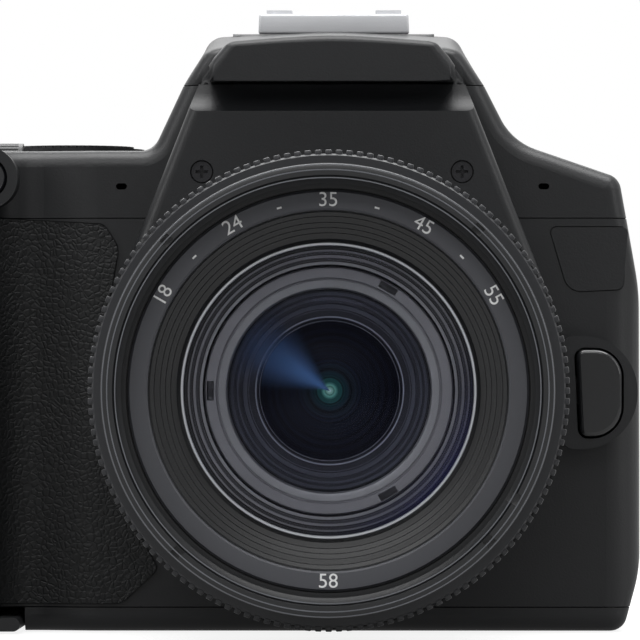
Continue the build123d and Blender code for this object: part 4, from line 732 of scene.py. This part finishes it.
class REFLEX_OT_glass(bpy.types.Operator):
    """Lathes the lens elements, their retaining rings and the stack behind them"""
    bl_idname = "reflex.glass"
    bl_label = "Glass and cell rings"

    def execute(self, context):
        steps = context.scene.reflex_lens.steps
        front = lathe("front_glass", arc_points(51.4, 48.8, 20.35, 16, False) + [(48.4, 0.0)]
                      + arc_points(48.4, 46.8, 20.35, 16, True)[1:], steps)
        settle(front, FINISHES["front_glass"], 60)
        place_piece(front, "inner_barrel", "optical_glass", "front_element")
        cell = lathe("notched_cell", [
            (39.0, 14.1), (39.0, 17.25), (45.3, 17.25), (45.6, 17.0), (45.6, 15.7), (45.1, 15.5),
            (45.0, 14.4), (44.4, 14.1)], steps)
        notch = bevelled_box("notch", (1.0, 7.0, 2.7), (16.4, FLANGE_Y - 45.6, LENS_AXIS_Z), 0.12)
        cut(cell, ring_of(notch, 3, 60))
        settle(cell, FINISHES["cell"])
        place_piece(cell, "inner_barrel", "dark_metal", "inner_cell")
        # the seat of the front element, its turned steps drawn as flat rings at one depth: light lands, and
        # between them dark rings that are painted shade where the grooves would be
        seat = 46.62
        lands = [(17.45, 17.85, "speckled"), (18.05, 18.35, "stack"), (18.4, 18.75, "cell"),
                 (18.95, 19.15, "stack"), (19.25, 19.5, "cell"), (19.75, 19.95, "stack")]
        for number, (inside, outside, finish) in enumerate(lands):
            flat_ring("seat_land_%d" % number, seat, inside, outside, finish, steps)
        retainer = lathe("speckled_retainer", [
            (44.9, 14.2), (45.15, 14.3), (45.25, 14.6), (45.25, 15.3), (45.0, 15.45),
            (44.9, 15.45)], steps)
        settle(retainer, FINISHES["speckled"])
        place_piece(retainer, "inner_barrel", "ring_metal")
        inner = lathe("inner_glass", arc_points(44.6, 42.8, 13.85, 14, False) + [(39.8, 0.0)]
                      + arc_points(39.8, 41.2, 13.85, 14, True)[1:], steps)
        settle(inner, FINISHES["inner_glass"], 60)
        place_piece(inner, "inner_barrel", "optical_glass", "inner_element")
        funnel = lathe("element_stack", [
            (38.9, 14.0), (38.9, 13.0), (37.6, 12.9), (37.5, 12.2), (36.0, 12.1), (35.9, 11.4),
            (34.0, 11.3), (33.9, 10.3), (32.0, 10.1), (31.0, 8.6), (29.0, 8.4), (28.0, 6.5), (26.0, 6.2),
            (26.0, 14.0)], steps)
        settle(funnel, FINISHES["stack"])
        place_piece(funnel, "inner_barrel", "inner_plastic")
        # the edges of the elements behind, each a thin ring: distance, radius and width (mm)
        for name, distance, radius, width, finish in (
                ("stack_ring_rim", 39.0, 13.75, 0.4, "grey_edge"),
                ("stack_ring_outer", 37.7, 13.0, 0.35, "grey_edge"),
                ("stack_ring_middle", 36.1, 12.1, 0.6, "grey_edge"),
                ("stack_ring_soft", 36.05, 11.35, 0.12, "cell"),
                # the bright rings below are painted highlights
                ("stack_ring_bright", 34.0, 10.45, 0.22, "highlight_edge"),
                ("stack_ring_fine", 34.0, 9.85, 0.08, "highlight_edge")):
            flat_ring(name, distance, radius - width, radius, finish, steps)
        deep = lathe("deep_elements", arc_points(33.4, 31.6, 10.0, 12, False) + [(31.0, 0.0), (31.0, 10.0)],
                     steps)
        settle(deep, FINISHES["depth"], 60)
        place_piece(deep, "inner_barrel", "optical_glass")
        return {"FINISHED"}


class REFLEX_OT_flash_head(bpy.types.Operator):
    """Gives the flash head its sloping crowned top and a finger notch at each side"""
    bl_idname = "reflex.flash_head"
    bl_label = "Flash head"

    def execute(self, context):
        low, high = size_of("flash_head")
        head = frame["nodes"]["flash_head"].copy()
        head.data = head.data.copy()
        head.name = "crowned_flash_head"
        bpy.context.scene.collection.objects.link(head)
        select_only(head)
        bpy.ops.object.mode_set(mode="EDIT")
        bpy.ops.mesh.select_all(action="SELECT")
        bpy.ops.mesh.remove_doubles(threshold=0.001 * MM)
        for x in HEAD_CUTS_X:
            bpy.ops.mesh.select_all(action="SELECT")
            bpy.ops.mesh.bisect(plane_co=(x * MM, 0, 0), plane_no=(1, 0, 0))
        for y in HEAD_CUTS_Y:
            bpy.ops.mesh.select_all(action="SELECT")
            bpy.ops.mesh.bisect(plane_co=(0, y * MM, 0), plane_no=(0, 1, 0))
        bpy.ops.object.mode_set(mode="OBJECT")
        for vertex in head.data.vertices:
            x, y, z = (c / MM for c in vertex.co)
            forward = min(max((-y - HEAD_SLOPE_START) / HEAD_SLOPE_RUN, 0), 1)
            up = min(max((z - low[2] - HEAD_FOOT) / (high[2] - low[2] - HEAD_FOOT), 0), 1)
            fall = HEAD_DROP + HEAD_CROWN * (x / HEAD_HALF_WIDTH) ** 2
            vertex.co.z -= fall * forward * up * MM
        for side in (-1, 1):
            notch_x, notch_y, notch_z = NOTCH_PLACE
            cut(head, bevelled_box("finger_notch", NOTCH_SIZE, (side * notch_x, notch_y, notch_z),
                                   0.8, 4))
        settle(head, FINISHES["cover"], 35)
        # large faces lead the shading, so the crown has no streaks
        weights = head.modifiers.new("even_shading", "WEIGHTED_NORMAL")
        weights.keep_sharp = True
        select_only(head)
        bpy.ops.object.modifier_apply(modifier=weights.name)
        place_piece(head, "flash", "body_plastic", "flash_head")
        return {"FINISHED"}


class REFLEX_OT_dial_marks(bpy.types.Operator):
    """Prints plain numerals and bars round the top of the mode dial"""
    bl_idname = "reflex.dial_marks"
    bl_label = "Mode dial marks"

    def execute(self, context):
        low, high = size_of("mode_dial")
        middle = Vector(((low[0] + high[0]) / 2, (low[1] + high[1]) / 2, 0)) * MM
        marks = []
        for index in range(DIAL_MARKS):
            if index < DIAL_NUMERALS:
                mark = raised_text(str(index + 1), DIAL_NUMERAL_SIZE, 0.015)
            else:
                mark = bevelled_box("bar", DIAL_BAR_SIZE, (0, 0, 0), 0.01, 1)
            turn = Matrix.Rotation(math.radians(-360 / DIAL_MARKS * index), 4, "Z")
            out = Matrix.Translation((0, DIAL_MARK_RADIUS * MM, 0))
            rise = Matrix.Translation(middle + Vector((0, 0, (high[2] + DIAL_MARK_LIFT) * MM)))
            mark.data.transform(rise @ turn @ out)
            mark.data.materials.append(FINISHES["ink"])
            marks.append(mark)
        marks = join(marks)
        marks.name = "mode_dial_marks"
        place_piece(marks, "mode_dial", "label_plastic")
        return {"FINISHED"}


class REFLEX_OT_felts(bpy.types.Operator):
    """Puts a felt pad behind each microphone slot"""
    bl_idname = "reflex.felts"
    bl_label = "Microphone felts"

    def execute(self, context):
        for name, x in MICROPHONES:
            felt = bevelled_box("microphone_felt_" + name, FELT_SIZE,
                                (x, MICROPHONE_Y, MICROPHONE_Z), 0.15)
            settle(felt, FINISHES["felt"])
            place_piece(felt, "camera_body", "rubber")
        return {"FINISHED"}


class REFLEX_OT_shoe_bed(bpy.types.Operator):
    """Models the raised bed in front of the accessory shoe, its pale grey a painted highlight"""
    bl_idname = "reflex.shoe_bed"
    bl_label = "Shoe bed"

    def execute(self, context):
        low, high = size_of("hot_shoe")
        bed = bevelled_box("shoe_bed", (high[0] - low[0] + BED_OVERHANG, BED_DEPTH, BED_HEIGHT),
                           (0, low[1] - 1.2, low[2] + 1.35), 0.4, 4)
        for vertex in bed.data.vertices:
            vertex.co.x *= 1 - BED_DRAW * (vertex.co.z / MM - low[2]) / BED_HEIGHT
        # the pale finish paints the highlight of the lamp overhead on the bed's front
        settle(bed, FINISHES["shoe"])
        place_piece(bed, "camera_body", "ring_metal")
        return {"FINISHED"}


def background_share(tree):
    """How far a ray sees the white background: the view and clear glass in full, gloss in part."""
    rays = add_node(tree, "ShaderNodeLightPath")
    gloss = add_node(tree, "ShaderNodeMath", {0: rays.outputs["Is Glossy Ray"], 1: GLOSS_SHARE},
                     operation="MULTIPLY")
    clear = add_node(tree, "ShaderNodeMath", {
        0: rays.outputs["Is Camera Ray"], 1: rays.outputs["Is Transmission Ray"]}, operation="MAXIMUM")
    seen = add_node(tree, "ShaderNodeMath", {
        0: clear.outputs[0], 1: gloss.outputs[0]}, operation="MAXIMUM")
    return seen.outputs[0]


class REFLEX_OT_stage(bpy.types.Operator):
    """Lays the pale floor, hangs the lamps, and sets the world and the view"""
    bl_idname = "reflex.stage"
    bl_label = "Floor, lamps and view"

    def execute(self, context):
        sizes = context.scene.reflex_stage
        clear_selection()
        # 8 m wide, and 0.2 mm below the base plate
        bpy.ops.mesh.primitive_plane_add(size=8, location=(0, 0, -0.2 * MM))
        floor = bpy.context.object
        floor.name = "floor"
        bpy.ops.object.transform_apply(location=True)
        material, tree = new_material("pale_floor")
        seen = background_share(tree)
        matt = add_node(tree, "ShaderNodeBsdfDiffuse", {"Color": (FLOOR_GREY,) * 3 + (1,)})
        glow = add_node(tree, "ShaderNodeEmission", {
            "Color": (1, 1, 1, 1), "Strength": FLOOR_GLOW})
        both = add_node(tree, "ShaderNodeAddShader", {0: matt.outputs[0], 1: glow.outputs[0]})
        finish_material(tree, add_node(tree, "ShaderNodeMixShader", {
            0: seen, 1: matt.outputs[0], 2: both.outputs[0]}))
        floor.data.materials.append(material)
        self.world()
        # each lamp: place, the point it faces, width and height (m), and power
        self.lamp("overhead", (0, -0.05, 1.0), (0, 0, 0.07), (1.2, 0.7), sizes.key_power)
        self.lamp("behind_high", (-0.2, 1.0, 0.75), (0, 0, 0.09), (1.0, 0.4), sizes.rim_power)
        self.lamp("front_high", (-0.15, -1.0, 0.8), (0, 0, 0.06), (0.9, 0.5), sizes.fill_power)
        self.lamp("left_side", (-1.1, -0.75, 0.75), (0, 0, 0.05), (0.4, 0.9), sizes.side_power)
        self.lamp("right_side", (1.1, -0.6, 0.6), (0, 0, 0.05), (0.4, 0.9), sizes.side_power * 0.7)
        self.view()
        return {"FINISHED"}

    def world(self):
        """White where the view looks past the object, dim where it lights it."""
        world = bpy.data.worlds.new("studio")
        bpy.context.scene.world = world
        world.use_nodes = True
        tree = world.node_tree
        tree.nodes.clear()
        seen = background_share(tree)
        place = add_node(tree, "ShaderNodeTexCoord")
        parts = add_node(tree, "ShaderNodeSeparateXYZ", {0: place.outputs["Generated"]})
        level = add_node(tree, "ShaderNodeMapRange", {
            "Value": parts.outputs["Y"], "From Min": -0.5, "From Max": 0.6,
            "To Min": WORLD_FRONT, "To Max": WORLD_BEHIND})
        dim = add_node(tree, "ShaderNodeBackground", {
            "Color": (1, 1, 1, 1), "Strength": level.outputs["Result"]})
        white = add_node(tree, "ShaderNodeBackground", {"Color": (1, 1, 1, 1), "Strength": 1.0})
        mix = add_node(tree, "ShaderNodeMixShader", {0: seen, 1: dim.outputs[0], 2: white.outputs[0]})
        add_node(tree, "ShaderNodeOutputWorld", {"Surface": mix.outputs[0]})

    def lamp(self, name, place, target, size, power):
        """A soft rectangular lamp that faces a point."""
        bpy.ops.object.light_add(type="AREA", location=place)
        light = bpy.context.object
        light.name = name
        light.data.shape = "RECTANGLE"
        light.data.size, light.data.size_y = size
        light.data.energy = power
        light.rotation_euler = (Vector(target) - Vector(place)).to_track_quat("-Z", "Y").to_euler()

    def view(self):
        """A long lens, half a degree off square to the front, shifted to frame the lens and the top."""
        bpy.ops.object.camera_add(location=(0.00884, -1.06, 0.0353),
                                  rotation=(math.radians(90), 0, math.radians(0.5155)))
        camera = bpy.context.object
        camera.name = "view"
        camera.data.lens = 397
        camera.data.sensor_width = 36
        camera.data.shift_x = -0.0145
        camera.data.shift_y = 0.1105
        camera.data.clip_end = 100
        bpy.context.scene.camera = camera
        bpy.context.scene.view_settings.view_transform = "Standard"


STEPS = (REFLEX_OT_covers, REFLEX_OT_lens_front, REFLEX_OT_name_ring, REFLEX_OT_focus_ring,
         REFLEX_OT_glass, REFLEX_OT_flash_head, REFLEX_OT_dial_marks, REFLEX_OT_felts,
         REFLEX_OT_shoe_bed, REFLEX_OT_stage)


class REFLEX_PT_sidebar(bpy.types.Panel):
    """Lists the steps in the sidebar"""
    bl_idname = "REFLEX_PT_sidebar"
    bl_label = "Camera finish"
    bl_space_type = "VIEW_3D"
    bl_region_type = "UI"
    bl_category = "Camera"

    def draw(self, context):
        for step in STEPS:
            self.layout.operator(step.bl_idname)


SETTINGS = {"reflex_lens": REFLEX_PG_lens, "reflex_body": REFLEX_PG_body, "reflex_stage": REFLEX_PG_stage}


def register():
    """Makes the settings, steps and panel known."""
    for group in (*SETTINGS.values(), *STEPS, REFLEX_PT_sidebar):
        bpy.utils.register_class(group)
    for name, group in SETTINGS.items():
        setattr(bpy.types.Scene, name, PointerProperty(type=group))


def unregister():
    """Takes them away again."""
    for name in SETTINGS:
        delattr(bpy.types.Scene, name)
    for group in reversed((*SETTINGS.values(), *STEPS, REFLEX_PT_sidebar)):
        bpy.utils.unregister_class(group)


def main():
    """Runs the steps in order."""
    register()
    for step in STEPS:
        group, name = step.bl_idname.split(".")
        getattr(getattr(bpy.ops, group), name)()


if __name__ == "__main__":
    main()
